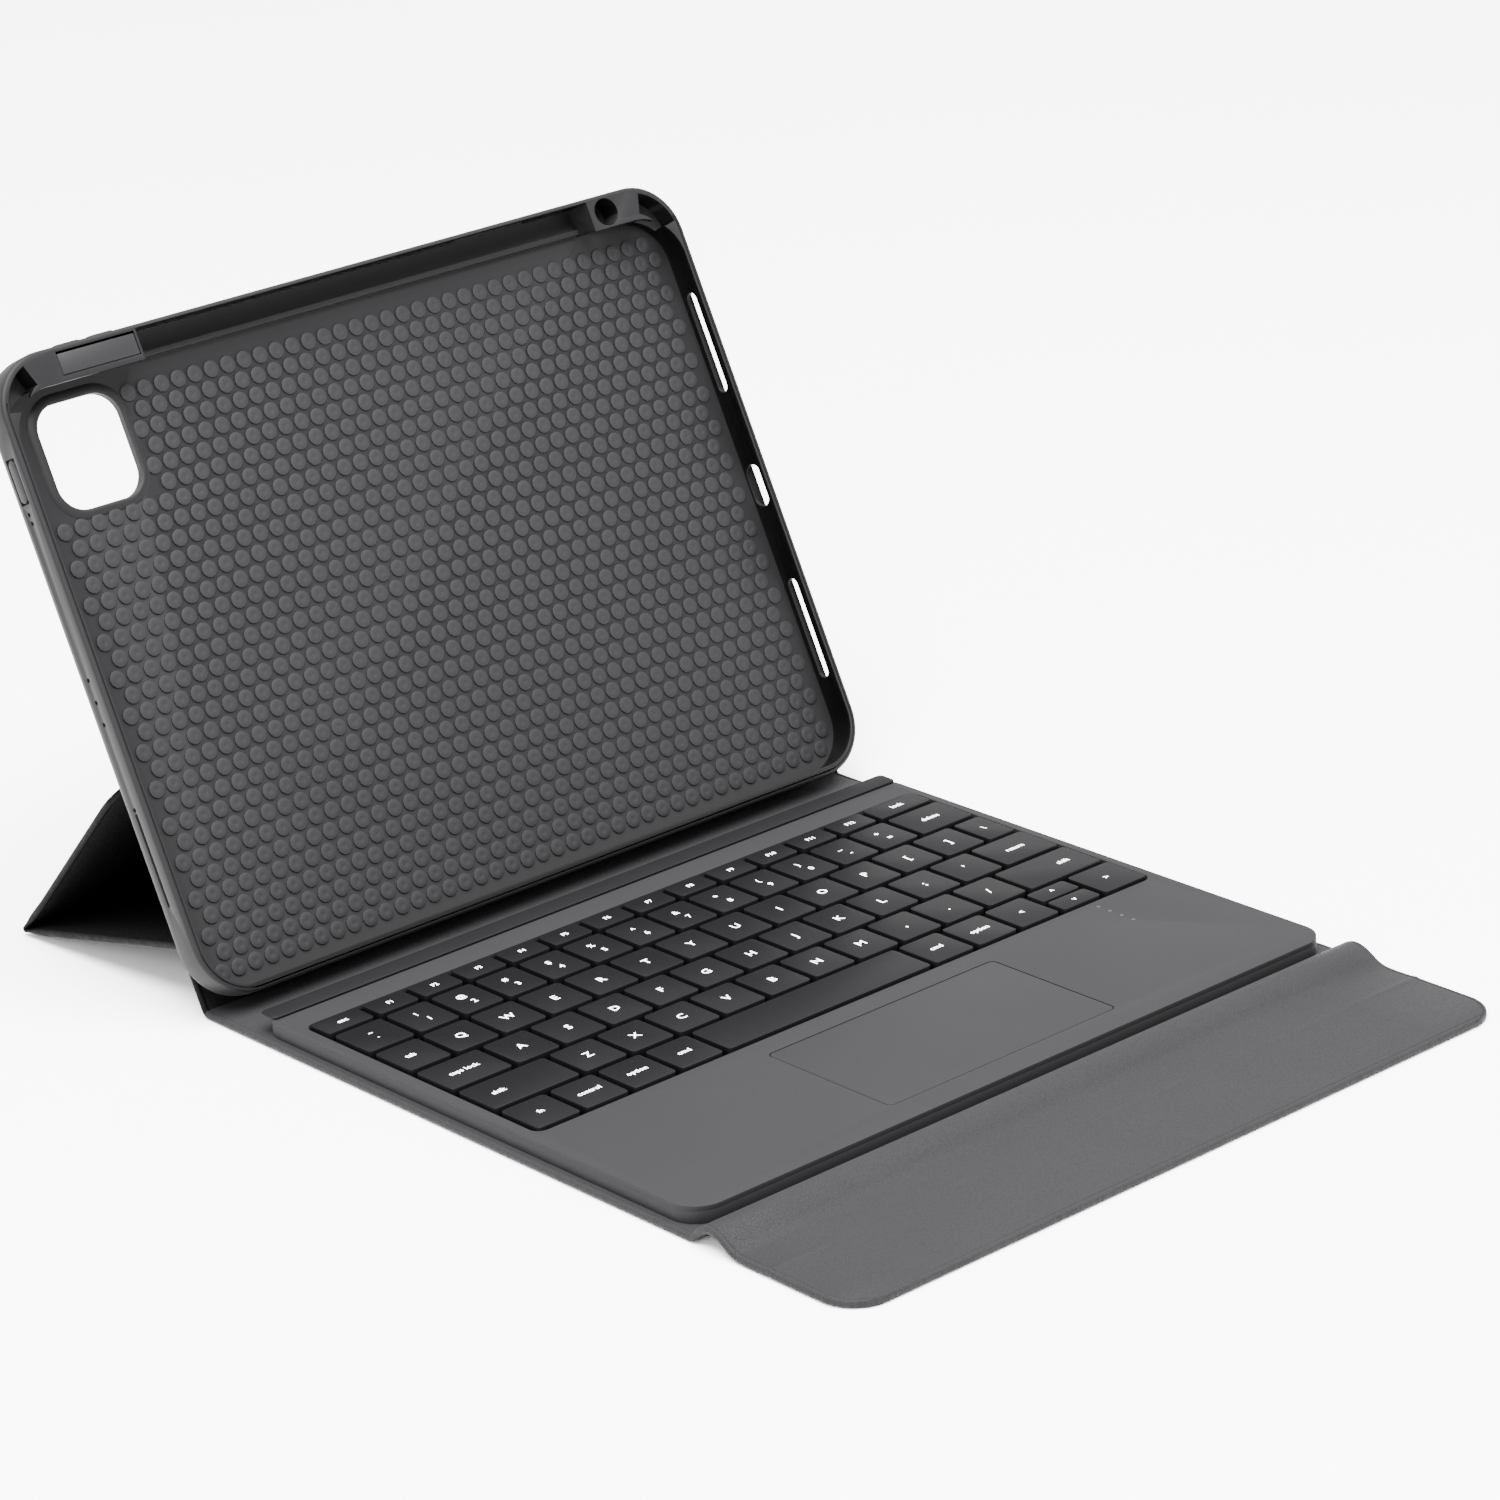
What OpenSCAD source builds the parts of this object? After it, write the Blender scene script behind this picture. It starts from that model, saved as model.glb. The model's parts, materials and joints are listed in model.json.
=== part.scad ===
// Folding keyboard case for an eleven inch tablet, standing open on a table.
// X runs to the typist's right, Y away from the typist and Z up.
// The origin is the middle of the whole case's footprint, on the table.
// Along the cover, distances are measured from the spine hinge, the fold behind
// the keyboard, and cover_shift then moves everything onto the origin.

/* [Cover] */
// Width of every cover panel
cover_w = 243; // [236:0.5:248]
// Thickness of a cover panel, lining and leather included
cover_t = 2.2; // [2:0.1:2.6]
// Thickness of the stiff board inside a panel
board_t = 1.0; // [0.8:0.1:1.2]
// Depth of the panel under the keyboard
base_d = 194.5; // [194:0.5:200]
// Length of the strip that wraps round the tray's top edge
strip_d = 23.4; // [23.3:0.1:25]
// Depth of the front flap
flap_d = 31.7; // [26:0.1:40]
// Radius of the flap's front corners
flap_r = 12; // [4:0.5:16]
// Height of the spine when the case is shut
spine_d = 20.8; // [20.7:0.1:21.5]

/* [Stand] */
// Length of the strip glued behind the tray's bottom edge
heel_d = 20.5; // [19:0.5:22]
// Length of the lower back panel
lower_d = 83.5; // [82:0.5:84]
// Length of the upper back panel, which props the tray
upper_d = 87.7; // [86:0.1:88]
// Lean of the upper back panel from the table, in degrees
upper_lean = 46.4; // [46:0.1:47]
// Radius of the upper panel's free corners
upper_r = 17; // [6:0.5:20]
// Height of the rear fold's axis
tip_z = 1.3; // [1.2:0.05:1.5]

/* [Tray] */
// Outer width of the tray
tray_w = 251.0; // [250.6:0.1:253]
// Outer height of the tray
tray_h = 190.5; // [190:0.1:192]
// Depth of the tray from rim to back
tray_t = 12; // [11.6:0.1:12]
// Radius of the tray's outer corners
tray_r = 17; // [14:0.5:20]
// Lean of the tray from the table, in degrees
tray_lean = 64.5; // [64:0.5:65]
// Glue line between the tray's back and the strip behind it
glue_gap = 0.3; // [0.3:0.05:0.4]
// Distance of the tray's bottom edge from the fold behind it
edge_gap = 1.45; // [1.4:0.05:1.6]
// Width of the tablet's pocket
pocket_w = 247.8; // [247.4:0.1:248.2]
// Height of the tablet's pocket
pocket_h = 179.1; // [178.7:0.1:179.4]
// Thickness of the wall under the tablet
pocket_v = 1.8; // [1.5:0.1:2]
// Thickness of the tray's floor
floor_t = 1.8; // [1.8:0.1:2.2]
// How far the lip reaches over the tablet
lip = 0.9; // [0.6:0.1:1.2]
// Width of the camera opening
camera_w = 28.5; // [26:0.5:30]
// Height of the camera opening
camera_h = 31.5; // [28:0.5:32]
// Length of the pencil channel
channel_w = 168; // [167:0.5:169]

/* [Keyboard] */
// Width of the keyboard
module_w = 237.6; // [236:0.1:239]
// Depth of the keyboard
module_d = 185.5; // [185:0.1:187]
// Radius of the keyboard's corners
module_r = 9; // [5:0.5:12]
// Gap between the keyboard's rear edge and the spine hinge
module_gap = 2; // [1.8:0.1:3]
// Height of the keyboard's deck above the table
deck_z = 7.2; // [7:0.1:7.3]
// Width of the trackpad
pad_w = 84.7; // [80:0.1:88]
// Depth of the trackpad
pad_d = 48.6; // [44:0.1:50]
// Travel of a key
key_travel = 1.4; // [1:0.1:1.5]

/* [Hidden] */
$fn = 48;
eps = 0.01;
// Running gap between the two sides of a fold
fold_gap = 0.3;
// Set-back of a panel from a fold that closes to a square corner
square_fold = 1.6;
// Set-back of a panel from the sharp rear fold
sharp_fold = 4.4;
// Thickness of the leather web at a fold
web_t = 0.8;
// Set-back of the web from the sharp rear fold
sharp_web = 2;
half_t = cover_t / 2;
// Clearance round a board in its pocket
board_gap = 0.1;
// Distance from a panel's edge to its board
hem = 4;

// Side profile of the stand: each point is [y, z] from the spine hinge
heel_foot = [spine_d, half_t];
tray_up = [cos(tray_lean), sin(tray_lean)];
tray_out = [-sin(tray_lean), cos(tray_lean)];
heel_top = heel_foot + heel_d * tray_up;
// The tray's front bottom edge
tray_foot = heel_foot + edge_gap * tray_up + (half_t + glue_gap + tray_t) * tray_out;
lower_lean = asin((heel_top[1] - tip_z) / lower_d);
tip = heel_top + lower_d * [cos(lower_lean), -sin(lower_lean)];
// The footprint runs from the flap's front edge to the rear fold
footprint_front = -base_d - strip_d - flap_d;
footprint_back = tip[0] + half_t;
cover_shift = -(footprint_front + footprint_back) / 2;

// Tray details, in the tray's own plane
pocket_floor = -tray_t + floor_t;
lip_t = 1.6;
pocket_r = 15;
pocket_mid = pocket_v + pocket_h / 2;
camera_mid = [-96.7, 160.2];
camera_r = 8;
channel_x = -75;
channel_top = tray_h - 1.2;
block_x = -102.4;
block_w = 26.4;
block_v = 181.9;
block_h = 6.2;
block_depth = 6;
cover_travel = 0.4;
volume_x = [-95.6, -84.0];
volume_w = 9;
button_n = -5;
power_v = 157;
power_h = 13;
speaker_offset = 46.8;

// Keyboard heights
case_z = cover_t;
case_floor = 0.8;
case_top = 5.8;
case_wall = 1.6;
ridge_d = 7;
key_top = 7.8;
key_bottom = 5.4;
module_front = -module_gap - module_d;
well_x = [-115.6, 116.0];
well_y = [-120.9, -18.5];
pad_mid = [0.7, -153.5];
pad_gap = 0.3;
pad_t = 0.8;
indicator_x = 90.2;
indicator_y = -124.3;
indicator_pitch = 4.7;
port_y = -148.5;
port_z = 4.3;
switch_y = -166.5;
switch_w = 5;
switch_travel = 2.5;

// Key rows: distance of each row's middle in front of the spine hinge
row_pitch = 18.15;
key_gap = 1.95;
key_d = row_pitch - key_gap;
function_d = 9.2;
function_y = -24.3;
number_y = -39;
letter_pitch = 16.85;
number_pitch = 15.9;
letter_w = letter_pitch - key_gap;
number_w = number_pitch - key_gap;
keys_left = -114.3;
keys_right = 114.8;
number_x = -89.4;
top_x = -90.4;
home_x = -83.8;
bottom_x = -75.1;
modifier_x = -106.85;
right_modifier_x = 38.2;
arrow_gap = 1.1;
arrow_d = (key_d - arrow_gap) / 2;
key_wall = 1.0;
key_roof = 0.9;

leather = "#4a4a4c";
leather_dark = "#1b1b1d";
board_colour = "#8f8a80";
tpu = "#4c4d4f";
keycap = "#2e2e30";
steel = "#a8abae";

// Distance of row i's middle from the spine hinge, counted forward from the numbers
function row_y(i) = number_y - i * row_pitch;
function span_mid(a, b) = (a + b) / 2;

module in_place() {
    translate([0, cover_shift, 0]) children();
}

// A panel's own frame: Y runs along it from its first fold, Z is its thickness
module along(start, lean) {
    in_place() translate([0, start[0], start[1]]) rotate([lean, 0, 0]) children();
}

// The tray's own frame: X across, Y up the tray from its bottom edge, Z out of its face
module in_tray() {
    along(tray_foot, tray_lean) children();
}

// A rectangle with round corners, centred
module round_rect(w, d, r) {
    square([w - 2 * r, d], center = true);
    square([w, d - 2 * r], center = true);
    for (x = [-1, 1], y = [-1, 1])
        translate([x * (w / 2 - r), y * (d / 2 - r)]) circle(r);
}

module round_plate(w, d, h, r) {
    linear_extrude(h) round_rect(w, d, r);
}

// A straight slot with round ends, along X and centred
module slot(w, d, h) {
    linear_extrude(h) {
        square([w - d, d], center = true);
        for (x = [-1, 1])
            translate([x * (w - d) / 2, 0]) circle(d / 2);
    }
}

// A cover panel between two folds, with its front corners square and its board's pocket
module panel(length, first, last, pocket = true) {
    difference() {
        translate([-cover_w / 2, first, -half_t]) cube([cover_w, length - first - last, cover_t]);
        if (pocket)
            board_space(length, first, last, board_gap);
    }
}

// The space of a panel's board, grown by a clearance
module board_space(length, first, last, grow) {
    w = cover_w - 2 * hem + 2 * grow;
    d = length - first - last - 2 * hem + 2 * grow;
    translate([-w / 2, first + hem - grow, -(board_t + grow) / 2]) cube([w, d, board_t + grow]);
}

// The leather web that reaches from a panel to a fold's axis
module web(from, to) {
    translate([-cover_w / 2, from, -web_t / 2]) cube([cover_w, to - from, web_t]);
}

// The rolled core of a fold, on the fold's axis
module fold_core() {
    translate([-cover_w / 2, 0, 0]) rotate([0, 90, 0]) cylinder(r = half_t, h = cover_w);
}

// ---------------------------------------------------------------- cover

module base_skin() {
    color(leather) along([-base_d, half_t], 0) {
        panel(base_d, square_fold, square_fold);
        web(0, square_fold);
        web(base_d - square_fold, base_d);
        fold_core();
        translate([0, base_d, 0]) fold_core();
    }
}

module base_board() {
    color(board_colour) along([-base_d, half_t], 0) board_space(base_d, square_fold, square_fold, 0);
}

module spine_skin() {
    color(leather) along([0, half_t], 0) {
        panel(spine_d, square_fold, square_fold, false);
        web(half_t + fold_gap, square_fold + eps);
        web(spine_d - square_fold, spine_d);
        translate([0, spine_d, 0]) fold_core();
    }
}

module heel_skin() {
    color(leather_dark) along(heel_foot, tray_lean) {
        panel(heel_d, square_fold, square_fold, false);
        web(half_t + fold_gap, square_fold + eps);
        web(heel_d - square_fold, heel_d);
        translate([0, heel_d, 0]) fold_core();
    }
}

module lower_back_skin() {
    color(leather_dark) along(heel_top, -lower_lean) {
        panel(lower_d, square_fold, sharp_fold);
        web(half_t + fold_gap, square_fold + eps);
        web(lower_d - sharp_fold, lower_d);
        translate([0, lower_d, 0]) fold_core();
    }
}

module lower_back_board() {
    color(board_colour) along(heel_top, -lower_lean) board_space(lower_d, square_fold, sharp_fold, 0);
}

// Rounds off the two corners at the free end of a panel
module round_end(length, r) {
    intersection() {
        children();
        translate([0, 0, -cover_t]) round_plate(cover_w, 2 * length, 2 * cover_t, r);
    }
}

module upper_back_skin() {
    color(leather_dark) along(tip, 180 - upper_lean) {
        round_end(upper_d, upper_r) difference() {
            panel(upper_d, sharp_fold, 0);
            magnet_discs(upper_d - 12, 5.2, 1.2);
        }
        web(sharp_web, sharp_fold + eps);
    }
}

module upper_back_board() {
    color(board_colour) along(tip, 180 - upper_lean) difference() {
        board_space(upper_d, sharp_fold, upper_r - hem, 0);
        magnet_discs(upper_d - 12, 5.2, 1.2);
    }
}

// A row of disc magnets across a panel or the tray
module magnet_discs(y, r, h) {
    for (x = [-90, -45, 45, 90])
        translate([x, y, -h / 2]) cylinder(r = r, h = h);
}

module stand_magnets() {
    color(steel) along(tip, 180 - upper_lean) magnet_discs(upper_d - 12, 5, 1);
}

module strip_skin() {
    color(leather) along([-base_d - strip_d, half_t], 0) {
        panel(strip_d, square_fold, square_fold, false);
        web(0, square_fold);
        web(strip_d - square_fold - eps, strip_d - half_t - fold_gap);
        fold_core();
    }
}

module flap_skin() {
    color(leather) along([-base_d - strip_d - flap_d, half_t], 0) {
        difference() {
            intersection() {
                panel(flap_d, 0, square_fold);
                translate([0, flap_d, -cover_t]) round_plate(cover_w, 2 * flap_d, 2 * cover_t, flap_r);
            }
            magnet_discs(flap_d / 2, 5.2, 1.2);
        }
        web(flap_d - square_fold - eps, flap_d - half_t - fold_gap);
    }
}

module flap_board() {
    color(board_colour) along([-base_d - strip_d - flap_d, half_t], 0) difference() {
        board_space(flap_d, 0, square_fold, 0);
        magnet_discs(flap_d / 2, 5.2, 1.2);
    }
}

module flap_magnets() {
    color(steel) along([-base_d - strip_d - flap_d, half_t], 0) magnet_discs(flap_d / 2, 5, 1);
}

// ---------------------------------------------------------------- tray

// A cored pocket that follows one of the tray's top corners
module corner_core(side, start, sweep) {
    translate([side * (tray_w / 2 - tray_r), tray_h - tray_r, -7])
        rotate([0, 0, start])
            rotate_extrude(angle = sweep)
                translate([tray_r - 8.6, 0]) square([6.6, 8]);
}

// A slot through the tray's end wall: w runs up the tray and d through its depth
module end_slot(side, v, w, d, n) {
    translate([side * (tray_w / 2 - 6), v, n])
        rotate([0, side * 90, 0]) rotate([0, 0, 90]) slot(w, d, 8);
}

module tray_cuts() {
    translate([0, pocket_mid, pocket_floor]) round_plate(pocket_w, pocket_h, tray_t - floor_t - lip_t, pocket_r);
    translate([0, pocket_mid, pocket_floor])
        round_plate(pocket_w - 2 * lip, pocket_h - 2 * lip, tray_t, pocket_r - lip);
    // Camera opening, right through the floor
    translate([camera_mid[0], camera_mid[1], -tray_t - 1]) round_plate(camera_w, camera_h, tray_t, camera_r);
    // Pencil channel and the window in its outer wall
    translate([channel_x, pocket_v + pocket_h - lip - eps, pocket_floor])
        cube([channel_w, channel_top - pocket_v - pocket_h + lip, tray_t]);
    translate([46, channel_top - 1, -8.6]) cube([28, 4, 5.6]);
    // Cored hole and corner pockets
    translate([99.2, 184.9, -8]) cylinder(r = 4.3, h = 9);
    corner_core(1, 12, 60);
    corner_core(-1, 112, 60);
    // Seat of the block behind the volume buttons, and the buttons' own openings
    translate([block_x - 0.2, block_v - 0.2, -block_depth - 0.2])
        cube([block_w + 0.4, block_h + 0.9, block_depth + 1]);
    for (x = volume_x)
        translate([x - volume_w / 2 - 0.3, block_v + block_h, button_n - 2])
            cube([volume_w + 0.6, 4, 4]);
    translate([-tray_w / 2 - 1, power_v - power_h / 2 - 0.3, button_n - 2.3])
        cube([6, power_h + 0.6, 4.6]);
    // Charging and speaker openings in the end walls
    end_slot(1, pocket_mid, 13.6, 7.2, -5.9);
    for (s = [-1, 1])
        end_slot(1, pocket_mid + s * speaker_offset, 32.5, 4.6, -5.9);
    end_slot(-1, pocket_mid - speaker_offset, 28, 1.2, -5);
    for (v = [59.5, 84.9, 91.4, 98.1, 144.7, 147.3])
        translate([-tray_w / 2 - 1, v, -5]) rotate([0, 90, 0]) cylinder(r = 0.7, h = 8);
    // Fine groove round the rim
    translate([0, tray_h / 2, -0.4]) linear_extrude(1) difference() {
        round_rect(tray_w - 2.6, tray_h - 2.0, tray_r - 1.2);
        round_rect(tray_w - 3.6, tray_h - 3.0, tray_r - 1.7);
        translate([0, tray_h / 2]) square([tray_w, 24], center = true);
    }
    for (v = [28, 74])
        translate([0, 0, -tray_t + floor_t / 2]) magnet_discs(v, 5.2, 1.2);
}

module tray_shell() {
    color(tpu) in_tray() {
        difference() {
            translate([0, tray_h / 2, -tray_t]) round_plate(tray_w, tray_h, tray_t, tray_r);
            tray_cuts();
        }
        // Low rail between the tablet and the pencil
        translate([channel_x, 181.4, pocket_floor - eps]) cube([channel_w, 1.6, 1.8]);
    }
}

module tray_magnets() {
    color(steel) in_tray() translate([0, 0, -tray_t + floor_t / 2])
        for (v = [28, 74]) magnet_discs(v, 5, 1);
}

module volume_cover(x) {
    color(tpu) in_tray() translate([x, block_v + block_h + 0.75, button_n])
        rotate([-90, 0, 0]) slot(volume_w, 3.4, tray_h - block_v - block_h - 0.75 + 0.6);
}

module volume_up_cover() {
    volume_cover(volume_x[1]);
}

module volume_down_cover() {
    volume_cover(volume_x[0]);
}

module power_cover() {
    color(tpu) in_tray() translate([-tray_w / 2, power_v, button_n])
        rotate([0, 90, 0]) rotate([0, 0, 90]) slot(power_h, 4, 2.6);
}

module volume_block() {
    color(tpu) in_tray() translate([block_x, block_v, -block_depth])
        cube([block_w, block_h, block_depth]);
}

// ---------------------------------------------------------------- keyboard body

module module_outline(h, inset = 0) {
    translate([0, module_front + module_d / 2, 0])
        round_plate(module_w - 2 * inset, module_d - 2 * inset, h, module_r - inset);
}

function screw_spots() = [
    for (x = [-113, 113], y = [-10.5, -126.5, -181.5]) [x, y]
];

module module_case() {
    color(leather_dark) in_place() difference() {
        translate([0, 0, case_z]) module_outline(case_top - case_z);
        translate([0, 0, case_z + case_floor]) module_outline(case_top, case_wall);
        for (s = screw_spots())
            translate([s[0], s[1], case_z - 1]) cylinder(r = 0.9, h = 3);
        for (s = screw_spots())
            translate([s[0], s[1], case_z - 1]) cylinder(r = 1.7, h = 1.45);
        translate([module_w / 2 - 3, port_y, port_z]) rotate([0, 90, 0]) rotate([0, 0, 90]) slot(9.3, 2.6, 5);
        translate([module_w / 2 - 3, switch_y - 4.2, 3.8]) cube([5, switch_w + switch_travel + 0.8, 1.7]);
    }
}

module deck_cuts() {
    w = well_x[1] - well_x[0];
    d = well_y[1] - well_y[0];
    translate([span_mid(well_x[0], well_x[1]), span_mid(well_y[0], well_y[1]), -1]) round_plate(w, d, 9, 3.5);
    translate([pad_mid[0], pad_mid[1], -1]) round_plate(pad_w + 2 * pad_gap, pad_d + 2 * pad_gap, 9, 2);
    for (i = [0:3])
        translate([indicator_x, indicator_y - i * indicator_pitch, -1]) cylinder(r = 0.65, h = 9);
}

module module_deck() {
    color(leather) in_place() {
        translate([0, 0, case_top]) difference() {
            module_outline(deck_z - case_top);
            deck_cuts();
        }
        // Screw bosses under the deck
        for (s = screw_spots())
            translate([s[0], s[1], case_z + case_floor + 0.1]) difference() {
                cylinder(r = 1.9, h = case_top - case_z - case_floor - 0.1);
                translate([0, 0, -1]) cylinder(r = 0.7, h = 3.4);
            }
    }
}

module case_screws() {
    color(steel) in_place() for (s = screw_spots()) {
        translate([s[0], s[1], case_z + 0.05]) cylinder(r = 1.6, h = 0.4);
        translate([s[0], s[1], case_z + 0.4]) cylinder(r = 0.7, h = 2.4);
    }
}

module rear_ridge() {
    color(leather) in_place() translate([0, -module_gap - ridge_d / 2 - 0.1, deck_z])
        round_plate(module_w - 0.4, ridge_d, 0.9, 1.6);
}

// ---------------------------------------------------------------- keyboard inside

module well_sheet(inset, h, z) {
    w = well_x[1] - well_x[0] - 2 * inset;
    d = well_y[1] - well_y[0] - 2 * inset;
    translate([span_mid(well_x[0], well_x[1]) - w / 2, span_mid(well_y[0], well_y[1]) - d / 2, z])
        cube([w, d, h]);
}

module key_plate() {
    color("#0e0e0f") in_place() well_sheet(0.6, 0.3, 3.05);
}

module membrane() {
    color("#1a1a1c") in_place() well_sheet(0.6, 0.2, 3.4);
}

// Places children at the middle of every single-width key
module at_small_keys() {
    for (i = [0:11])
        translate([number_x + i * number_pitch, row_y(0)]) children();
    for (i = [0:11])
        translate([top_x + i * letter_pitch, row_y(1)]) children();
    for (i = [0:10])
        translate([home_x + i * letter_pitch, row_y(2)]) children();
    for (i = [0:9])
        translate([bottom_x + i * letter_pitch, row_y(3)]) children();
}

module dome() {
    rotate_extrude() polygon([[0, 0], [2.6, 0], [1.6, 1.0], [1.1, 1.3], [0, 1.3]]);
}

module rubber_domes() {
    color("#303033") in_place() translate([0, 0, 3.65]) at_small_keys() dome();
}

// One folded scissor link: a flat frame round its dome
module scissor_link() {
    difference() {
        translate([-5, -4.2, 0]) cube([10, 8.4, 0.9]);
        translate([-3.6, -3, -1]) cube([7.2, 6, 3]);
    }
}

module scissor_links() {
    color("#d8d8d4") in_place() translate([0, 0, 3.7]) at_small_keys() scissor_link();
}

module main_board() {
    color("#1d5a3a") in_place() {
        translate([86, -180.5, 3.1]) cube([24, 54, 1.0]);
        translate([90, -174.5, 4.1]) cube([9, 9, 0.9]);
        translate([102, -138.5, 4.1]) cube([4, 6, 0.8]);
    }
}

module battery() {
    color("#b9bcc0") in_place() {
        translate([-108, -180.5, 3.1]) cube([60, 52, 2.4]);
        translate([48, -180.5, 3.1]) cube([34, 52, 2.4]);
    }
}

module pad_surface() {
    color(leather) in_place() translate([pad_mid[0], pad_mid[1], deck_z - pad_t])
        round_plate(pad_w, pad_d, pad_t, 1.8);
}

module pad_board() {
    color("#1d5a3a") in_place() translate([pad_mid[0], pad_mid[1], deck_z - pad_t - 1])
        round_plate(pad_w - 4, pad_d - 4, 1, 1);
}

module pad_switch() {
    color(steel) in_place() translate([pad_mid[0], pad_mid[1] - 14, 3.05]) {
        translate([-3, -3, 0]) cube([6, 6, 1.2]);
        translate([0, 0, 1.2]) cylinder(r = 1.6, h = 0.6);
    }
}

module indicator_lenses() {
    color("#c9ccd0") in_place() for (i = [0:3])
        translate([indicator_x, indicator_y - i * indicator_pitch, 5.2]) cylinder(r = 0.6, h = 2);
}

module charging_port() {
    color(steel) in_place() translate([module_w / 2 - 7.6, port_y, port_z])
        rotate([0, 90, 0]) rotate([0, 0, 90]) difference() {
            slot(9.0, 2.4, 7.4);
            translate([0, 0, 1]) slot(8.4, 1.8, 9);
        }
}

module power_switch() {
    color(keycap) in_place() {
        translate([module_w / 2 - 4, switch_y - 3.8, 4.1]) cube([4.5, switch_w, 1.1]);
        translate([module_w / 2 - 4.5, switch_y - 4.8, 3.7]) cube([1.5, switch_w + 2, 1.8]);
    }
}

// ---------------------------------------------------------------- keys

// A hollow key cap, open underneath
module cap(w, d) {
    translate([0, 0, key_bottom]) difference() {
        round_plate(w, d, key_top - key_bottom, 1.3);
        translate([-w / 2 + key_wall, -d / 2 + key_wall, -1])
            cube([w - 2 * key_wall, d - 2 * key_wall, key_top - key_bottom - key_roof + 1]);
    }
}

// A key that reaches from left to right in a row
module wide_key(left, right, y, d = key_d) {
    color(keycap) in_place() translate([span_mid(left, right), y, 0]) cap(right - left, d);
}

// A run of equal keys
module key_run(x, pitch, count, y, w, d = key_d) {
    color(keycap) in_place() for (i = [0:count - 1])
        translate([x + i * pitch, y, 0]) cap(w, d);
}

// The edge of the key that stands next to a run
function left_of(x, w) = x - w / 2 - key_gap;
function right_of(x, pitch, count, w) = x + (count - 1) * pitch + w / 2 + key_gap;

module escape_key() { wide_key(keys_left, left_of(number_x, number_w), function_y, function_d); }
module function_keys() { key_run(number_x, number_pitch, 12, function_y, number_w, function_d); }
module lock_key() { wide_key(right_of(number_x, number_pitch, 12, number_w), keys_right, function_y, function_d); }

module number_keys() {
    wide_key(keys_left, left_of(number_x, number_w), row_y(0));
    key_run(number_x, number_pitch, 12, row_y(0), number_w);
}
module backspace_key() { wide_key(right_of(number_x, number_pitch, 12, number_w), keys_right, row_y(0)); }

module tab_key() { wide_key(keys_left, left_of(top_x, letter_w), row_y(1)); }
module top_letter_keys() { key_run(top_x, letter_pitch, 12, row_y(1), letter_w); }
module backslash_key() { wide_key(right_of(top_x, letter_pitch, 12, letter_w), keys_right, row_y(1)); }

module caps_lock_key() { wide_key(keys_left, left_of(home_x, letter_w), row_y(2)); }
module home_letter_keys() { key_run(home_x, letter_pitch, 11, row_y(2), letter_w); }
module return_key() { wide_key(right_of(home_x, letter_pitch, 11, letter_w), keys_right, row_y(2)); }

module left_shift_key() { wide_key(keys_left, left_of(bottom_x, letter_w), row_y(3)); }
module bottom_letter_keys() { key_run(bottom_x, letter_pitch, 10, row_y(3), letter_w); }
module right_shift_key() { wide_key(right_of(bottom_x, letter_pitch, 10, letter_w), keys_right, row_y(3)); }

// Key i of a run of single keys in the front row
module front_key(x, i) { key_run(x + i * letter_pitch, letter_pitch, 1, row_y(4), letter_w); }

module globe_key() { front_key(modifier_x, 0); }
module control_key() { front_key(modifier_x, 1); }
module left_option_key() { front_key(modifier_x, 2); }
module left_command_key() { front_key(modifier_x, 3); }
module space_bar() {
    wide_key(right_of(modifier_x, letter_pitch, 4, letter_w), left_of(right_modifier_x, letter_w), row_y(4));
}
module right_command_key() { front_key(right_modifier_x, 0); }
module right_option_key() { front_key(right_modifier_x, 1); }
module left_arrow_key() { front_key(right_modifier_x, 2); }

// Half-height arrow key, s = 1 for up and -1 for down
module half_arrow(s) {
    key_run(right_modifier_x + 3 * letter_pitch, letter_pitch, 1, row_y(4) + s * (arrow_d + arrow_gap) / 2,
        letter_w, arrow_d);
}

module up_arrow_key() { half_arrow(1); }
module down_arrow_key() { half_arrow(-1); }
module right_arrow_key() { wide_key(right_of(right_modifier_x, letter_pitch, 4, letter_w), keys_right, row_y(4)); }

tray_shell();
tray_magnets();
volume_up_cover();
volume_down_cover();
power_cover();
volume_block();
base_skin();
base_board();
spine_skin();
heel_skin();
lower_back_skin();
lower_back_board();
upper_back_skin();
upper_back_board();
stand_magnets();
strip_skin();
flap_skin();
flap_board();
flap_magnets();
module_case();
module_deck();
rear_ridge();
key_plate();
membrane();
rubber_domes();
scissor_links();
main_board();
battery();
pad_surface();
pad_board();
pad_switch();
indicator_lenses();
charging_port();
power_switch();
case_screws();
escape_key();
function_keys();
lock_key();
number_keys();
backspace_key();
tab_key();
top_letter_keys();
backslash_key();
caps_lock_key();
home_letter_keys();
return_key();
left_shift_key();
bottom_letter_keys();
right_shift_key();
globe_key();
control_key();
left_option_key();
left_command_key();
space_bar();
right_command_key();
right_option_key();
left_arrow_key();
up_arrow_key();
down_arrow_key();
right_arrow_key();
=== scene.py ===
"""Folding keyboard case for a tablet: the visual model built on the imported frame.

The spine hinge is the fold behind the keyboard. Along the cover, places are given
in millimetres from it, Y away from the typist, and turned to metres in the frame.
"""
import json
import logging
import math
from dataclasses import dataclass, field
from enum import Enum

import bmesh
import bpy
from mathutils import Matrix, Vector

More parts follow.
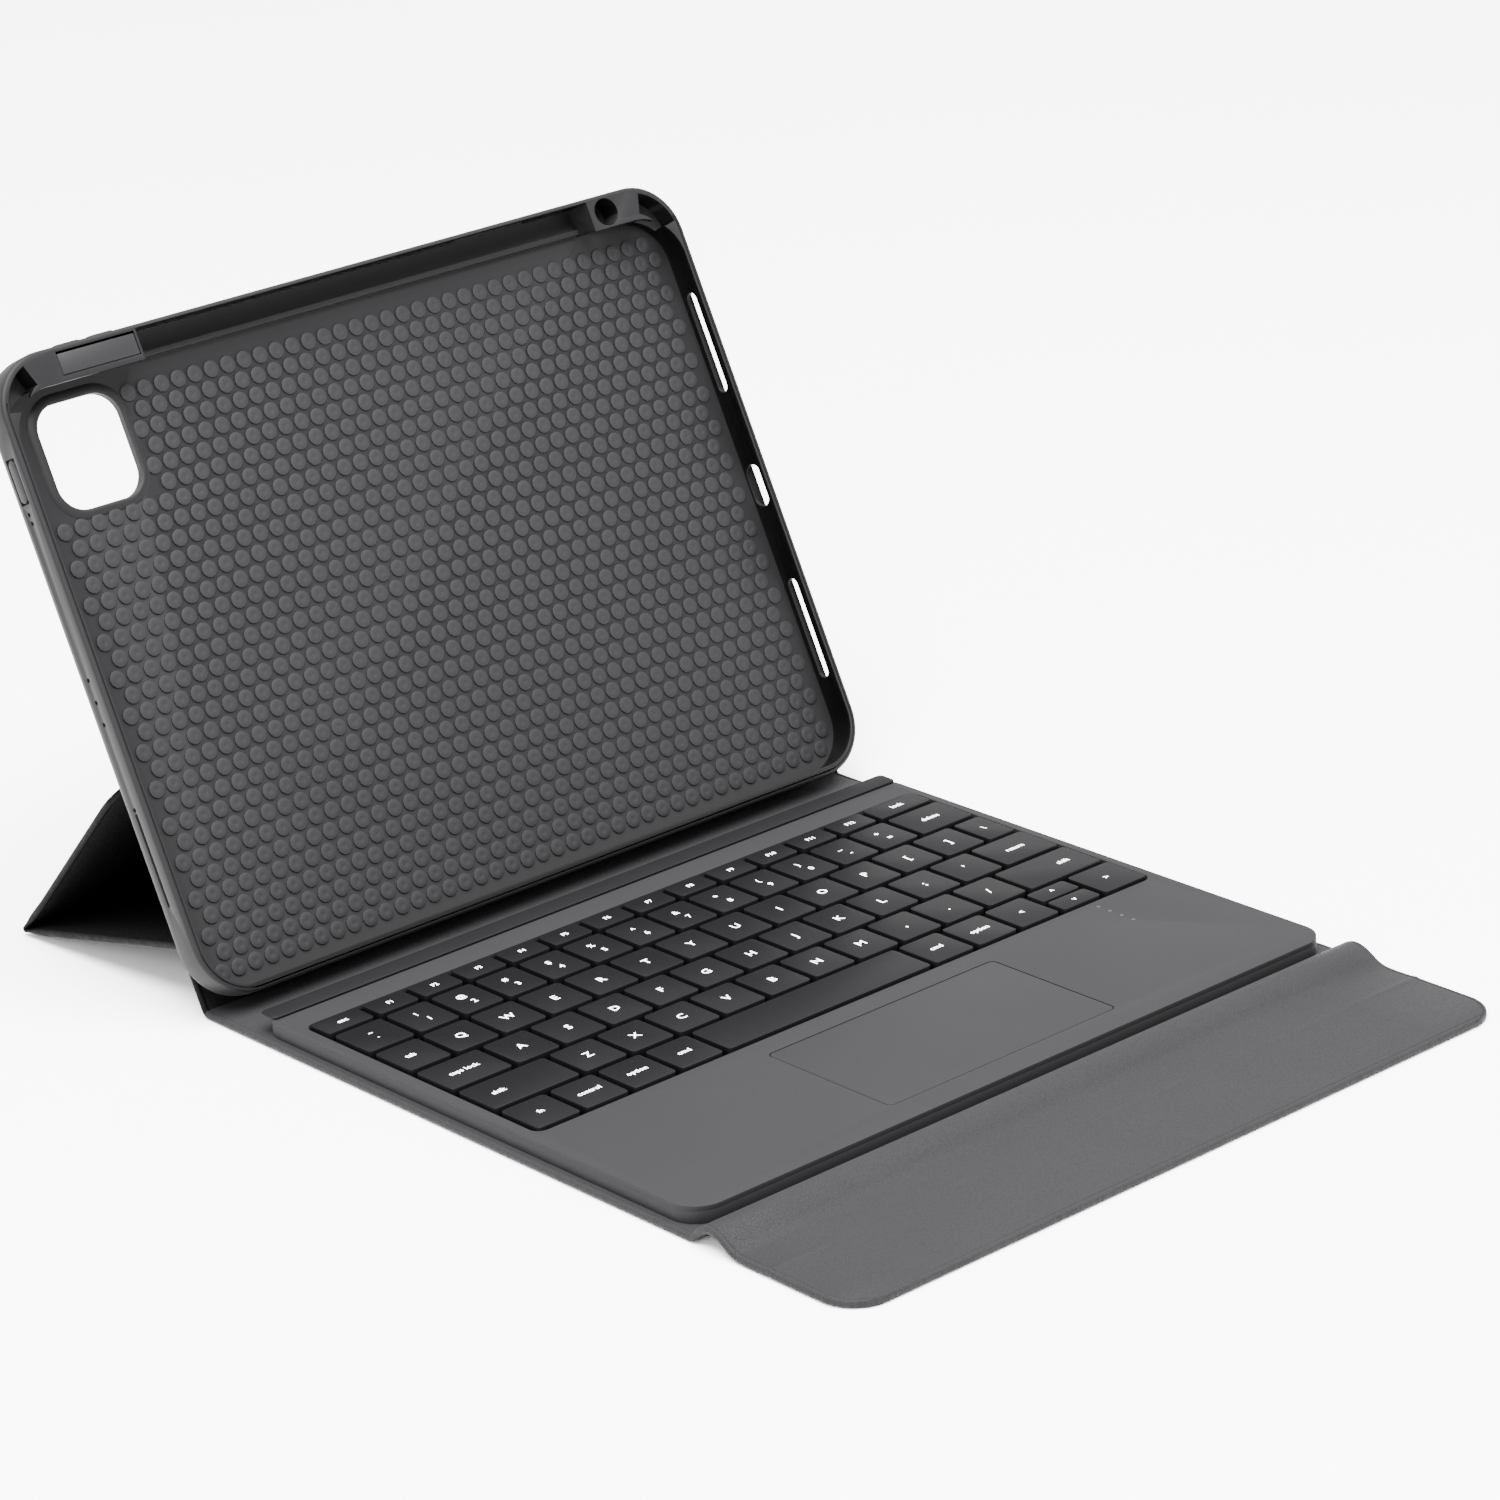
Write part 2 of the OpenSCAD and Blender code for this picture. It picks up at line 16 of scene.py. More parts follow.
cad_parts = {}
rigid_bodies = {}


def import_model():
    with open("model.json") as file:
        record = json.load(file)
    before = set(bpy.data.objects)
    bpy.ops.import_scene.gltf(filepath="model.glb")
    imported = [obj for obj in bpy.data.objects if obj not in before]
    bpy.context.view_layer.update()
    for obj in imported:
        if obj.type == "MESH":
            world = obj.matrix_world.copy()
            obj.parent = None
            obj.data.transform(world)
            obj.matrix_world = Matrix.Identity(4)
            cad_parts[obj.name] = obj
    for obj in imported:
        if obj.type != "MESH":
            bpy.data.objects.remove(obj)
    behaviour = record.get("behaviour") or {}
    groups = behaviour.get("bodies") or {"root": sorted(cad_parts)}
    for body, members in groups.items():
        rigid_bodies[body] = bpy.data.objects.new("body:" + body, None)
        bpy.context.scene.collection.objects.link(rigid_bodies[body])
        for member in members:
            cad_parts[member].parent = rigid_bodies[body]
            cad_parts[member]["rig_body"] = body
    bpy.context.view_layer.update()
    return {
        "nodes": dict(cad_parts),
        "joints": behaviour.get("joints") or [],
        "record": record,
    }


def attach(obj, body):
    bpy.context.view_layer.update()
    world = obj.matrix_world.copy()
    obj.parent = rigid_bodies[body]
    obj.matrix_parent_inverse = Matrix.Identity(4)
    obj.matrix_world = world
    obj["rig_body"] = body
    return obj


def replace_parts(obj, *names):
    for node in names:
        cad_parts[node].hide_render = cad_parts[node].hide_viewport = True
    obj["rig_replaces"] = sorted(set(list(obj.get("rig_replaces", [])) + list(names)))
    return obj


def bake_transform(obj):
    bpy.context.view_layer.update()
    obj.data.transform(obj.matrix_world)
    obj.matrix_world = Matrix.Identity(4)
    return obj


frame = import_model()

LOG = logging.getLogger("keyboard_case")
Point = tuple[float, float]


# ------------------------------------------------------------------ places and sizes


def joint_at(name: str) -> Vector:
    """Return where a joint's axis stands in the frame.

    Args:
        name: the joint's name.

    Returns:
        The point on its axis, in metres.
    """
    return Vector(next(j["pos_m"] for j in frame["joints"] if j["name"] == name))


MM = 1000  # millimetres in a metre
HINGE_Y = joint_at("spine_fold").y * MM


def place(x: float, y: float, z: float) -> Vector:
    """Return a frame point from millimetres measured from the spine hinge.

    Args:
        x: distance to the typist's right of the middle.
        y: distance behind the spine hinge.
        z: height above the table.

    Returns:
        The point in metres.
    """
    return Vector((x, y + HINGE_Y, z)) / MM


@dataclass(frozen=True)
class CoverSizes:
    """Sizes of the cover and stand, in millimetres."""

    width: float = 243.0
    thickness: float = 2.2
    flap_end: float = -249.6
    flap_fold: float = -217.9
    strip_fold: float = -194.5
    heel_foot: Point = (20.8, 1.1)
    tray_lean: float = 64.5
    heel_length: float = 20.5
    lower_length: float = 83.5
    upper_length: float = 87.7
    upper_lean: float = 46.4
    tip_height: float = 1.3
    flap_corner: float = 12.0
    upper_corner: float = 17.0
    # Where the painted shade on the lining behind the keyboard begins.
    shade_behind_module: float = -2.5
    flap_rest: float = 1.12
    base_rest: float = 1.1
    base_front: float = -150.0
    spine_reach: float = 6.0
    foot_radius: float = 2.4
    top_radius: float = 2.0
    fold_radius: float = 0.55
    fold_blend: float = 1.6
    stitch_back: float = 1.6
    corner_reach: float = 17.0


@dataclass(frozen=True)
class TraySizes:
    """Sizes of the tray in its own plane, in millimetres."""

    width: float = 251.0
    height: float = 190.5
    depth: float = 12.0
    corner: float = 17.0
    foot: Point = (9.3296, 8.1776)
    lean: float = 64.5
    floor: float = -10.2
    pocket_width: float = 247.8
    pocket_low: float = 1.8
    pocket_high: float = 180.9
    camera_centre: Point = (-96.7, 160.2)
    camera_size: Point = (28.5, 31.5)
    back_round: float = 4.6
    rim_round: float = 1.0
    pocket_corner: float = 15.0
    rail_low: float = 181.0
    rail_high: float = 183.4


# ------------------------------------------------------------------ small helpers


def linear(code: str) -> tuple[float, float, float, float]:
    """Turn an sRGB hex colour into the linear colour that shaders take.

    Args:
        code: six hex digits with a leading hash.

    Returns:
        Red, green, blue and alpha.
    """
    parts = [int(code[i : i + 2], 16) / 255 for i in (1, 3, 5)]
    lin = [c / 12.92 if c <= 0.04045 else ((c + 0.055) / 1.055) ** 2.4 for c in parts]
    return (lin[0], lin[1], lin[2], 1.0)


def add_node(
    tree: bpy.types.NodeTree,
    kind: str,
    settings: dict | None = None,
    inputs: dict | None = None,
) -> bpy.types.Node:
    """Add a shader node with its settings and its links.

    Args:
        tree: the material's node tree.
        kind: the node's type name.
        settings: properties set on the node.
        inputs: socket name or index to a value, or to the socket that feeds it.

    Returns:
        The new node.
    """
    node = tree.nodes.new(kind)
    for key, value in (settings or {}).items():
        setattr(node, key, value)
    for key, value in (inputs or {}).items():
        if isinstance(value, bpy.types.NodeSocket):
            tree.links.new(value, node.inputs[key])
        else:
            node.inputs[key].default_value = value
    return node


def only(obj: bpy.types.Object) -> None:
    """Make one object the only selected and active one.

    Args:
        obj: the object.
    """
    bpy.ops.object.select_all(action="DESELECT")
    obj.hide_set(False)
    obj.select_set(True)
    bpy.context.view_layer.objects.active = obj


def fresh(name: str) -> bpy.types.Object:
    """Name the object an operator has just added and leave only it selected.

    Args:
        name: the piece's name.

    Returns:
        The object.
    """
    obj = bpy.context.active_object
    obj.name = obj.data.name = name
    only(obj)
    return obj


def settle(obj: bpy.types.Object, smooth_deg: float = 35.0) -> None:
    """Point an object's faces outwards and shade it smooth up to an angle.

    Args:
        obj: the finished piece.
        smooth_deg: edges sharper than this stay crisp.
    """
    only(obj)
    bpy.ops.object.mode_set(mode="EDIT")
    bpy.ops.mesh.select_all(action="SELECT")
    bpy.ops.mesh.normals_make_consistent(inside=False)
    bpy.ops.object.mode_set(mode="OBJECT")
    bpy.ops.object.transform_apply(location=True, rotation=True, scale=True)
    bpy.ops.object.shade_smooth_by_angle(angle=math.radians(smooth_deg))


def dress(obj: bpy.types.Object, *materials: bpy.types.Material) -> None:
    """Give an object its materials in slot order.

    Args:
        obj: the piece.
        materials: one material for each slot.
    """
    obj.data.materials.clear()
    for material in materials:
        obj.data.materials.append(material)


# ------------------------------------------------------------------ finishes


class Follow(Enum):
    """What a pattern follows."""

    OBJECT = "Object"
    SURFACE = "UV"


@dataclass(frozen=True)
class Finish:
    """A surface finish: two tones, a grain and its relief."""

    name: str
    tone: str
    deep: str
    roughness: float = 0.6
    grain_mm: float = 0.5
    relief_mm: float = 0.02
    cloud_mm: float = 40.0
    sheen: float = 0.0
    specular: float = 0.5
    ior: float = 1.5
    follow: Follow = Follow.OBJECT

    def grain(self, tree: bpy.types.NodeTree, at: bpy.types.NodeSocket) -> bpy.types.NodeSocket:
        """Return the height pattern of the surface.

        Args:
            tree: the material's node tree.
            at: the coordinates the pattern follows.

        Returns:
            A socket that runs from 0 in the lows to 1 on the highs.
        """
        node = add_node(
            tree,
            "ShaderNodeTexNoise",
            inputs={"Vector": at, "Scale": MM / self.grain_mm, "Detail": 3.0, "Roughness": 0.6},
        )
        return node.outputs["Fac"]

    def shader(self, tree: bpy.types.NodeTree, at: bpy.types.NodeSocket) -> bpy.types.Node:
        """Build the surface shader.

        Args:
            tree: the material's node tree.
            at: the coordinates the pattern follows.

        Returns:
            The Principled node.
        """
        high = self.grain(tree, at)
        cloud = add_node(
            tree,
            "ShaderNodeTexNoise",
            inputs={"Vector": at, "Scale": MM / self.cloud_mm, "Detail": 4.0, "Roughness": 0.55},
        )
        blend = add_node(
            tree,
            "ShaderNodeMath",
            {"operation": "MULTIPLY_ADD", "use_clamp": True},
            {0: cloud.outputs["Fac"], 1: 0.55, 2: 0.0},
        )
        mixed = add_node(
            tree,
            "ShaderNodeMath",
            {"operation": "MULTIPLY_ADD", "use_clamp": True},
            {0: high, 1: 0.6, 2: blend.outputs[0]},
        )
        colour = add_node(
            tree,
            "ShaderNodeMix",
            {"data_type": "RGBA"},
            {0: mixed.outputs[0], 6: linear(self.deep), 7: linear(self.tone)},
        )
        rough = add_node(
            tree,
            "ShaderNodeMapRange",
            inputs={
                0: high,
                3: min(1.0, self.roughness + 0.08),
                4: max(0.05, self.roughness - 0.06),
            },
        )
        bump = add_node(
            tree,
            "ShaderNodeBump",
            inputs={"Strength": 1.0, "Distance": self.relief_mm / MM, "Height": high},
        )
        shader = add_node(
            tree,
            "ShaderNodeBsdfPrincipled",
            inputs={
                "Base Color": colour.outputs[2],
                "Roughness": rough.outputs[0],
                "Normal": bump.outputs[0],
                "IOR": self.ior,
                "Specular IOR Level": self.specular,
                "Sheen Weight": self.sheen,
                "Sheen Roughness": 0.4,
            },
        )
        return shader

    def material(self) -> bpy.types.Material:
        """Build the material.

        Returns:
            The finished material.
        """
        mat = bpy.data.materials.new(self.name)
        mat.use_nodes = True
        tree = mat.node_tree
        tree.nodes.clear()
        source = add_node(tree, "ShaderNodeTexCoord")
        shader = self.shader(tree, source.outputs[self.follow.value])
        add_node(tree, "ShaderNodeOutputMaterial", inputs={"Surface": shader.outputs[0]})
        return mat


@dataclass(frozen=True)
class PebbledLeather(Finish):
    """Embossed synthetic leather: rounded pebbles parted by fine creases."""

    def grain(self, tree: bpy.types.NodeTree, at: bpy.types.NodeSocket) -> bpy.types.NodeSocket:
        """Return the height of the pebbles.

        Args:
            tree: the material's node tree.
            at: the coordinates the pebbles follow.

        Returns:
            A socket that runs from 0 in the creases to 1 on the pebbles.
        """
        warp = add_node(
            tree,
            "ShaderNodeTexNoise",
            inputs={"Vector": at, "Scale": 500 / self.grain_mm, "Detail": 1.0},
        )
        shift = add_node(
            tree,
            "ShaderNodeVectorMath",
            {"operation": "MULTIPLY_ADD"},
            {0: warp.outputs["Color"], 1: (self.grain_mm / 1500,) * 3, 2: at},
        )
        cells = add_node(
            tree,
            "ShaderNodeTexVoronoi",
            {"feature": "DISTANCE_TO_EDGE"},
            {"Vector": shift.outputs[0], "Scale": MM / self.grain_mm},
        )
        rise = add_node(
            tree,
            "ShaderNodeMapRange",
            {"interpolation_type": "SMOOTHSTEP"},
            {0: cells.outputs["Distance"], 1: 0.0, 2: 0.28, 3: 0.0, 4: 1.0},
        )
        return rise.outputs[0]


@dataclass(frozen=True)
class BrushedSteel(Finish):
    """Rolled steel: fine lines along X and a clear metal sheen."""

    def shader(self, tree: bpy.types.NodeTree, at: bpy.types.NodeSocket) -> bpy.types.Node:
        """Build the metal shader with its brushed lines.

        Args:
            tree: the material's node tree.
            at: the coordinates the lines follow.

        Returns:
            The Principled node.
        """
        stretch = add_node(
            tree, "ShaderNodeMapping", inputs={"Vector": at, "Scale": (40.0, 4000.0, 4000.0)}
        )
        lines = add_node(
            tree,
            "ShaderNodeTexNoise",
            inputs={"Vector": stretch.outputs[0], "Scale": 1.0, "Detail": 2.0},
        )
        rough = add_node(
            tree,
            "ShaderNodeMapRange",
            inputs={0: lines.outputs["Fac"], 3: self.roughness - 0.08, 4: self.roughness + 0.1},
        )
        colour = add_node(
            tree,
            "ShaderNodeMix",
            {"data_type": "RGBA"},
            {0: lines.outputs["Fac"], 6: linear(self.deep), 7: linear(self.tone)},
        )
        return add_node(
            tree,
            "ShaderNodeBsdfPrincipled",
            inputs={
                "Base Color": colour.outputs[2],
                "Metallic": 1.0,
                "Roughness": rough.outputs[0],
            },
        )


# Soft polyurethane lining: a dull, very fine grain, like the inside of a good folio.
# The grain is drawn at twice its real size so that it shows.
LINING = PebbledLeather(
    "Soft polyurethane lining", "#19191a", "#141415",
    0.7, 0.7, 0.014, 30.0, 0.02, 0.1, 1.45, Follow.SURFACE,
)
# Embossed synthetic leather outside, darker and with a larger pebble.
OUTER_LEATHER = PebbledLeather(
    "Embossed synthetic leather", "#0b0b0c", "#070708",
    0.55, 1.1, 0.05, 30.0, 0.02, 0.15, 1.45, Follow.SURFACE,
)
# The same leather in near-black. Inside the stand it gives those faces their near-black colour;
# behind the keyboard under the tray and along the stitched grooves it is painted shade.
BLACK_AND_SHADE_LEATHER = PebbledLeather(
    "Black leather and painted shade", "#020202", "#010101",
    0.62, 1.1, 0.04, 30.0, 0.0, 0.06, 1.45, Follow.SURFACE,
)
# Soft-touch paint on moulded ABS: an even satin with the faintest tooth.
DECK_PAINT = Finish(
    "Soft-touch painted ABS", "#19191a", "#151516",
    0.68, 0.35, 0.006, 26.0, 0.01, 0.1, 1.45,
)
# Thermoplastic polyurethane from a spark-eroded mould: matt, with edges that catch light.
TRAY_RUBBER = Finish(
    "Moulded thermoplastic rubber", "#0c0c0d", "#080809",
    0.55, 0.3, 0.012, 35.0, 0.02, 0.12,
)
# The same rubber, near-black and a little smoother: painted shade on the tray's inner walls and in
# its hollows.
TRAY_PAINTED_SHADE = Finish(
    "Thermoplastic rubber painted with shade", "#030303", "#020202",
    0.4, 0.6, 0.006, 35.0, 0.0, 0.12,
)
# The same rubber painted lighter on the pads' tops: painted light, so that the floor between the
# pads reads as shaded.
PAINTED_LIGHT_RUBBER = Finish(
    "Moulded rubber with painted light", "#171718", "#101011",
    0.52, 0.28, 0.01, 30.0, 0.01, 0.12,
)
# Key caps in moulded ABS with a light sparked texture.
KEY_ABS = Finish(
    "Moulded ABS key caps", "#060607", "#040405",
    0.52, 0.25, 0.008, 20.0, 0.0, 0.08,
)
# The bar behind the keys: the deck's moulding a shade darker, as painted shade on its slope that
# faces the tray.
SHADED_RIDGE_ABS = Finish("Moulded satin ABS with painted shade", "#09090a", "#060607", 0.6, 0.3, 0.008, 20.0, 0.0, 0.08)
# Pad-printed ink, chalky white.
LEGEND_INK = Finish("Printed legend ink", "#f2f2f2", "#e2e2e2", 0.5, 0.2, 0.002, 20.0)
# Untextured black mouldings, which give a soft gleam.
DARK_ABS = Finish("Moulded ABS in black", "#0a0a0b", "#060607", 0.55, 0.3, 0.01, 20.0, 0.0, 0.2)
# Polyester film with printed carbon on its inner side: flat and slightly shiny.
FILM = Finish("Printed polyester film", "#0b0b0c", "#070708", 0.35, 0.5, 0.004, 30.0, 0.0, 0.2)
# Silicone domes: waxy, between matt and gloss.
SILICONE = Finish("Moulded silicone", "#202021", "#181819", 0.6, 0.4, 0.01, 10.0)
# Acetal straight from the mould: milky and smooth.
NATURAL_PLASTIC = Finish("Natural acetal", "#b5b5ae", "#a5a59e", 0.4, 0.4, 0.006, 12.0)
# Pressed board: a dull fibrous grey.
GREY_BOARD = Finish("Pressed grey board", "#6a665d", "#56524b", 0.85, 0.6, 0.04, 12.0)
# Green solder mask over copper: glossy with faint cloudiness.
CIRCUIT = Finish("Solder-masked circuit board", "#123f28", "#0d311f", 0.35, 0.8, 0.01, 9.0)
# Aluminised pouch: a creased silver grey.
FOIL = Finish("Laminated foil pouch", "#8c8f93", "#787b7f", 0.32, 0.9, 0.03, 15.0)
# Smoked lens: clear plastic over a dark hole.
LENS = Finish("Smoked polycarbonate lens", "#101011", "#0b0b0c", 0.2, 0.4, 0.002, 10.0)
STEEL = BrushedSteel("Brushed stainless steel", "#b9bbbe", "#9fa2a5", 0.3)
# Painted studio floor: plain and matt.
TABLE = Finish("Matt white studio floor", "#f6f6f6", "#f2f2f2", 0.9, 3.0, 0.01, 400.0, 0.0, 0.1)


class Wardrobe:
    """Builds each finish once and hands it out."""

    def __init__(self) -> None:
        """Start with no materials built."""
        self.built: dict[str, bpy.types.Material] = {}

    def __getitem__(self, finish: Finish) -> bpy.types.Material:
        """Return the material of a finish, built on first use.

        Args:
            finish: the finish wanted.

        Returns:
            Its material.
        """
        if finish.name not in self.built:
            self.built[finish.name] = finish.material()
        return self.built[finish.name]


# ------------------------------------------------------------------ cover and stand


@dataclass(frozen=True)
class Row:
    """One cross-section of the cover."""

    y: float
    z: float
    ny: float
    nz: float
    length: float
    half_width: float
    scale: float = 1.0
    crown: float = 1.0


# Across the leather: share of the half width, set-back from the edge in millimetres and
# height in half thicknesses. The dip at 1.6 is the line of stitching.
TOP_COLUMNS: list[tuple[float, float, float]] = [
    (-1, 1.3, 1.0),
    (-1, 1.6, 0.74),
    (-1, 1.9, 1.0),
    *[(i / 5, 1.9, 1.0) for i in range(-4, 5)],
    (1, 1.9, 1.0),
    (1, 1.6, 0.74),
    (1, 1.3, 1.0),
]
RIM_COLUMNS: list[tuple[float, float, float]] = [
    (1, 0.55, 0.93),
    (1, 0.16, 0.62),
    (1, 0.0, 0.0),
    (1, 0.16, -0.62),
    (1, 0.55, -0.93),
]
UNDER_COLUMNS: list[tuple[float, float, float]] = [
    (1, 1.3, -1.0),
    (0.5, 1.3, -1.0),
    (0.0, 1.3, -1.0),
    (-0.5, 1.3, -1.0),
    (-1, 1.3, -1.0),
]


@dataclass
class FoldedCover:
    """The leather cover: one strip of leather, cut only where it bends about two joints."""

    wardrobe: Wardrobe
    sizes: CoverSizes = field(default_factory=CoverSizes)

    def stand_corners(self) -> tuple[Vector, Vector, Vector, Vector]:
        """Return the stand's side profile.

        Returns:
            The heel's foot and top, the rear tip and the upper panel's free edge, as (y, z).
        """
        s = self.sizes
        foot = Vector(s.heel_foot)
        lean = math.radians(s.tray_lean)
        top = foot + s.heel_length * Vector((math.cos(lean), math.sin(lean)))
        drop = math.asin((top.y - s.tip_height) / s.lower_length)
        tip = top + s.lower_length * Vector((math.cos(drop), -math.sin(drop)))
        rise = math.radians(180 - s.upper_lean)
        end = tip + s.upper_length * Vector((math.cos(rise), math.sin(rise)))
        return foot, top, tip, end

    @staticmethod
    def line(a: Vector, b: Vector, step: float) -> list[Vector]:
        """Return points along a straight stretch.

        Args:
            a: its start, which is included.
            b: its end, which is left out.
            step: about how far apart the points are, in millimetres.

        Returns:
            The points in order.
        """
        count = max(1, round((b - a).length / step))
        return [a.lerp(b, i / count) for i in range(count)]

    @staticmethod
    def bend(before: Vector, corner: Vector, after: Vector, radius: float) -> list[Vector]:
        """Return the arc that rounds a corner.

        Args:
            before: a point on the way in.
            corner: the sharp corner.
            after: a point on the way out.
            radius: the arc's radius.

        Returns:
            Points from the arc's start to its end.
        """
        a = (before - corner).normalized()
        b = (after - corner).normalized()
        half = a.angle(b) / 2
        reach = radius / math.tan(half)
        middle = corner + (a + b).normalized() * radius / math.sin(half)
        start = corner + a * reach - middle
        end = corner + b * reach - middle
        turn = start.angle_signed(end)
        steps = 8
        return [
            middle + Matrix.Rotation(-turn * i / steps, 2) @ start for i in range(steps + 1)
        ]

    def wave(self) -> list[Vector]:
        """Return the relaxed wave of the leather in front of the keyboard.

        Returns:
            Points along a smooth curve through the wave's knots.
        """
        knots = [
            (-222.5, 1.12),
            (-219.5, 1.2),
            (-217.9, 1.42),
            (-216.3, 1.2),
            (-213.5, 1.12),
            (-209.5, 1.12),
            (-206.2, 1.35),
            (-203.2, 2.3),
            (-200.6, 3.9),
            (-198.0, 5.15),
            (-195.4, 5.55),
            (-193.0, 4.95),
            (-190.9, 3.5),
            (-189.4, 2.0),
            (-187.8, 1.14),
            (-185.5, 1.1),
        ]
        per_knot = 3
        points = []
        for i in range(1, len(knots) - 2):
            p0, p1, p2, p3 = (Vector(k) for k in knots[i - 1 : i + 3])
            for j in range(per_knot):
                t = j / per_knot
                linear_part = 2 * p1 + (p2 - p0) * t
                square_part = (2 * p0 - 5 * p1 + 4 * p2 - p3) * t * t
                cube_part = (3 * p1 - p0 - 3 * p2 + p3) * t**3
                points.append(0.5 * (linear_part + square_part + cube_part))
        return points

    def rear_fold(self, top: Vector, tip: Vector, end: Vector) -> list[Vector]:
        """Return the tight loop of thinned leather at the stand's rear tip.

        Args:
            top: where the lower panel starts.
            tip: the fold's axis.
            end: where the upper panel ends.

        Returns:
            Points from the lower panel round to the upper one.
        """
        radius = self.sizes.fold_radius
        least, most, steps = 100, 200, 12
        along = (tip - top).normalized()
        up = Vector((-along.y, along.x))
        start = tip - along * radius
        centre = start + up * radius
        goal = tip + (end - tip).normalized() * 16
        turn = 90.0
        while turn < most:
            spoke = Matrix.Rotation(math.radians(turn), 2) @ (-up)
            ahead = Vector((-spoke.y, spoke.x))
            leave = centre + spoke * radius
            if ahead.angle_signed(goal - leave) >= 0 and turn > least:
                break
            turn += 1
        arc = [
            centre + Matrix.Rotation(math.radians(turn * i / steps), 2) @ (-up) * radius
            for i in range(steps + 1)
        ]
        return arc + self.line(arc[-1], goal, 1.2)[1:] + [goal]

    def rows(self) -> tuple[list[Row], list[int]]:
        """Lay out every cross-section from the flap's front edge to the stand's free edge.

        Returns:
            The rows, and the row numbers where one piece ends and the next begins.
        """
        s = self.sizes
        foot, top, tip, end = self.stand_corners()
        near = [0.0, 0.15, 0.5, 1.3, 1.6, 1.9, 2.5, 3.4, 4.6, 6.2, 8.2, 10.5, 13.2, s.corner_reach]
        flap = Vector((s.flap_end + s.corner_reach, s.flap_rest))
        path = [Vector((s.flap_end + d, s.flap_rest)) for d in near[:-1]]
        path += self.line(flap, Vector((-219.5, 1.2)), 3.0)[:-1]
        path += self.wave()
        marks = [min(range(len(path)), key=lambda i: abs(path[i].x + 206.2))]
        base = Vector((s.base_front, s.base_rest))
        spine_front = Vector((-s.spine_reach, s.base_rest))
        spine_back = Vector((s.spine_reach, s.base_rest))
        path += self.line(Vector((-187.2, s.base_rest)), base, 5.0)
        marks.append(len(path))
        path += self.line(base, spine_front, 8.0)
        path += self.line(spine_front, spine_back, 1.0)
        foot_arc = self.bend(Vector((0.0, s.base_rest)), foot, top, s.foot_radius)
        path += self.line(spine_back, foot_arc[0], 3.0)
        marks.append(len(path) + len(foot_arc) // 2)
        path += foot_arc[:-1]
        top_arc = self.bend(foot, top, tip, s.top_radius)
        path += self.line(foot_arc[-1], top_arc[0], 2.0)
        path += top_arc[:-1]
        middle = top.lerp(tip, 0.5)
        path += self.line(top_arc[-1], middle, 4.0)
        marks.append(len(path))
        fold = self.rear_fold(top, tip, end)
        path += self.line(middle, fold[0], 2.5)
        path += fold[:-1]
        rising = (end - tip).normalized()
        path += self.line(fold[-1], end - rising * s.corner_reach, 4.0)
        path += [end - rising * d for d in reversed(near)]
        return self.sections(path, tip), marks

    def sections(self, path: list[Vector], tip: Vector) -> list[Row]:
        """Give each point of the side profile its direction, width and thickness.

        Args:
            path: the middle of the leather from the flap to the stand's free edge.
            tip: the stand's rear tip, near which the leather is thinned.

        Returns:
            One cross-section for each point.
        """
        s = self.sizes
        rolled_edge = [(0.1, 0.4), (0.3, 0.62), (0.9, 0.93)]
        lengths = [0.0]
        for a, b in zip(path, path[1:]):
            lengths.append(lengths[-1] + (b - a).length)
        rows = []
        for i, p in enumerate(path):
            t = (path[min(i + 1, len(path) - 1)] - path[max(i - 1, 0)]).normalized()
            first, last = lengths[i], lengths[-1] - lengths[i]
            d, r = (first, s.flap_corner) if first < last else (last, s.upper_corner)
            cut = r - math.sqrt(max(0.0, r * r - (r - min(d, r)) ** 2))
            scale = next((k for limit, k in rolled_edge if d < limit), 1.0)
            crown = 0.74 if abs(d - s.stitch_back) < 0.1 else 1.0
            away = (p - tip).length
            scale *= min(1.0, max(0.5, 0.5 + (away - 3.0) / 8))
            rows.append(Row(p.x, p.y, -t.y, t.x, lengths[i], s.width / 2 - cut, scale, crown))
        return rows

    def loft(self, name: str, rows: list[Row], inner: Finish) -> bpy.types.Object:
        """Wrap one stretch of the cover round its cross-sections.

        Args:
            name: the piece's name.
            rows: its cross-sections in order.
            inner: the finish of its upper side.

        Returns:
            The closed piece.
        """
        half = self.sizes.thickness / 2
        left = [(-a, b, -c) for a, b, c in RIM_COLUMNS]
        ring = TOP_COLUMNS + RIM_COLUMNS + UNDER_COLUMNS + left
        ring.append(ring[0])
        bpy.ops.object.select_all(action="DESELECT")
        bpy.ops.mesh.primitive_grid_add(
            x_subdivisions=len(ring) - 1, y_subdivisions=len(rows) - 1, size=1
        )
        obj = fresh(name)
        mesh = obj.data
        for i, row in enumerate(rows):
            for j, (share, back, height) in enumerate(ring):
                lift = height * half * row.scale * (row.crown if height > 0.9 else 1.0)
                x = share * (row.half_width - back)
                vert = mesh.vertices[i * len(ring) + j]
                vert.co = place(x, row.y + row.ny * lift, row.z + row.nz * lift)
        uv = mesh.uv_layers.active.data
        for loop in mesh.loops:
            row = rows[loop.vertex_index // len(ring)]
            uv[loop.index].uv = (mesh.vertices[loop.vertex_index].co.x, row.length / MM)
        tops, lining, outside, black, rim = len(TOP_COLUMNS), 0, 1, 2, 3
        for face in mesh.polygons:
            columns = [v % len(ring) for v in face.vertices]
            column, edge = min(columns), max(columns)
            low = min(v // len(ring) for v in face.vertices)
            # Painted shade: the faces along the stitching dips take the near-black leather,
            # standing in for the shade in the stitch grooves.
            seam_shade = rows[low].crown < 1 or rows[min(low + 1, len(rows) - 1)].crown < 1
            seam_shade = seam_shade or edge in (2, tops - 1) and 1 < column < tops
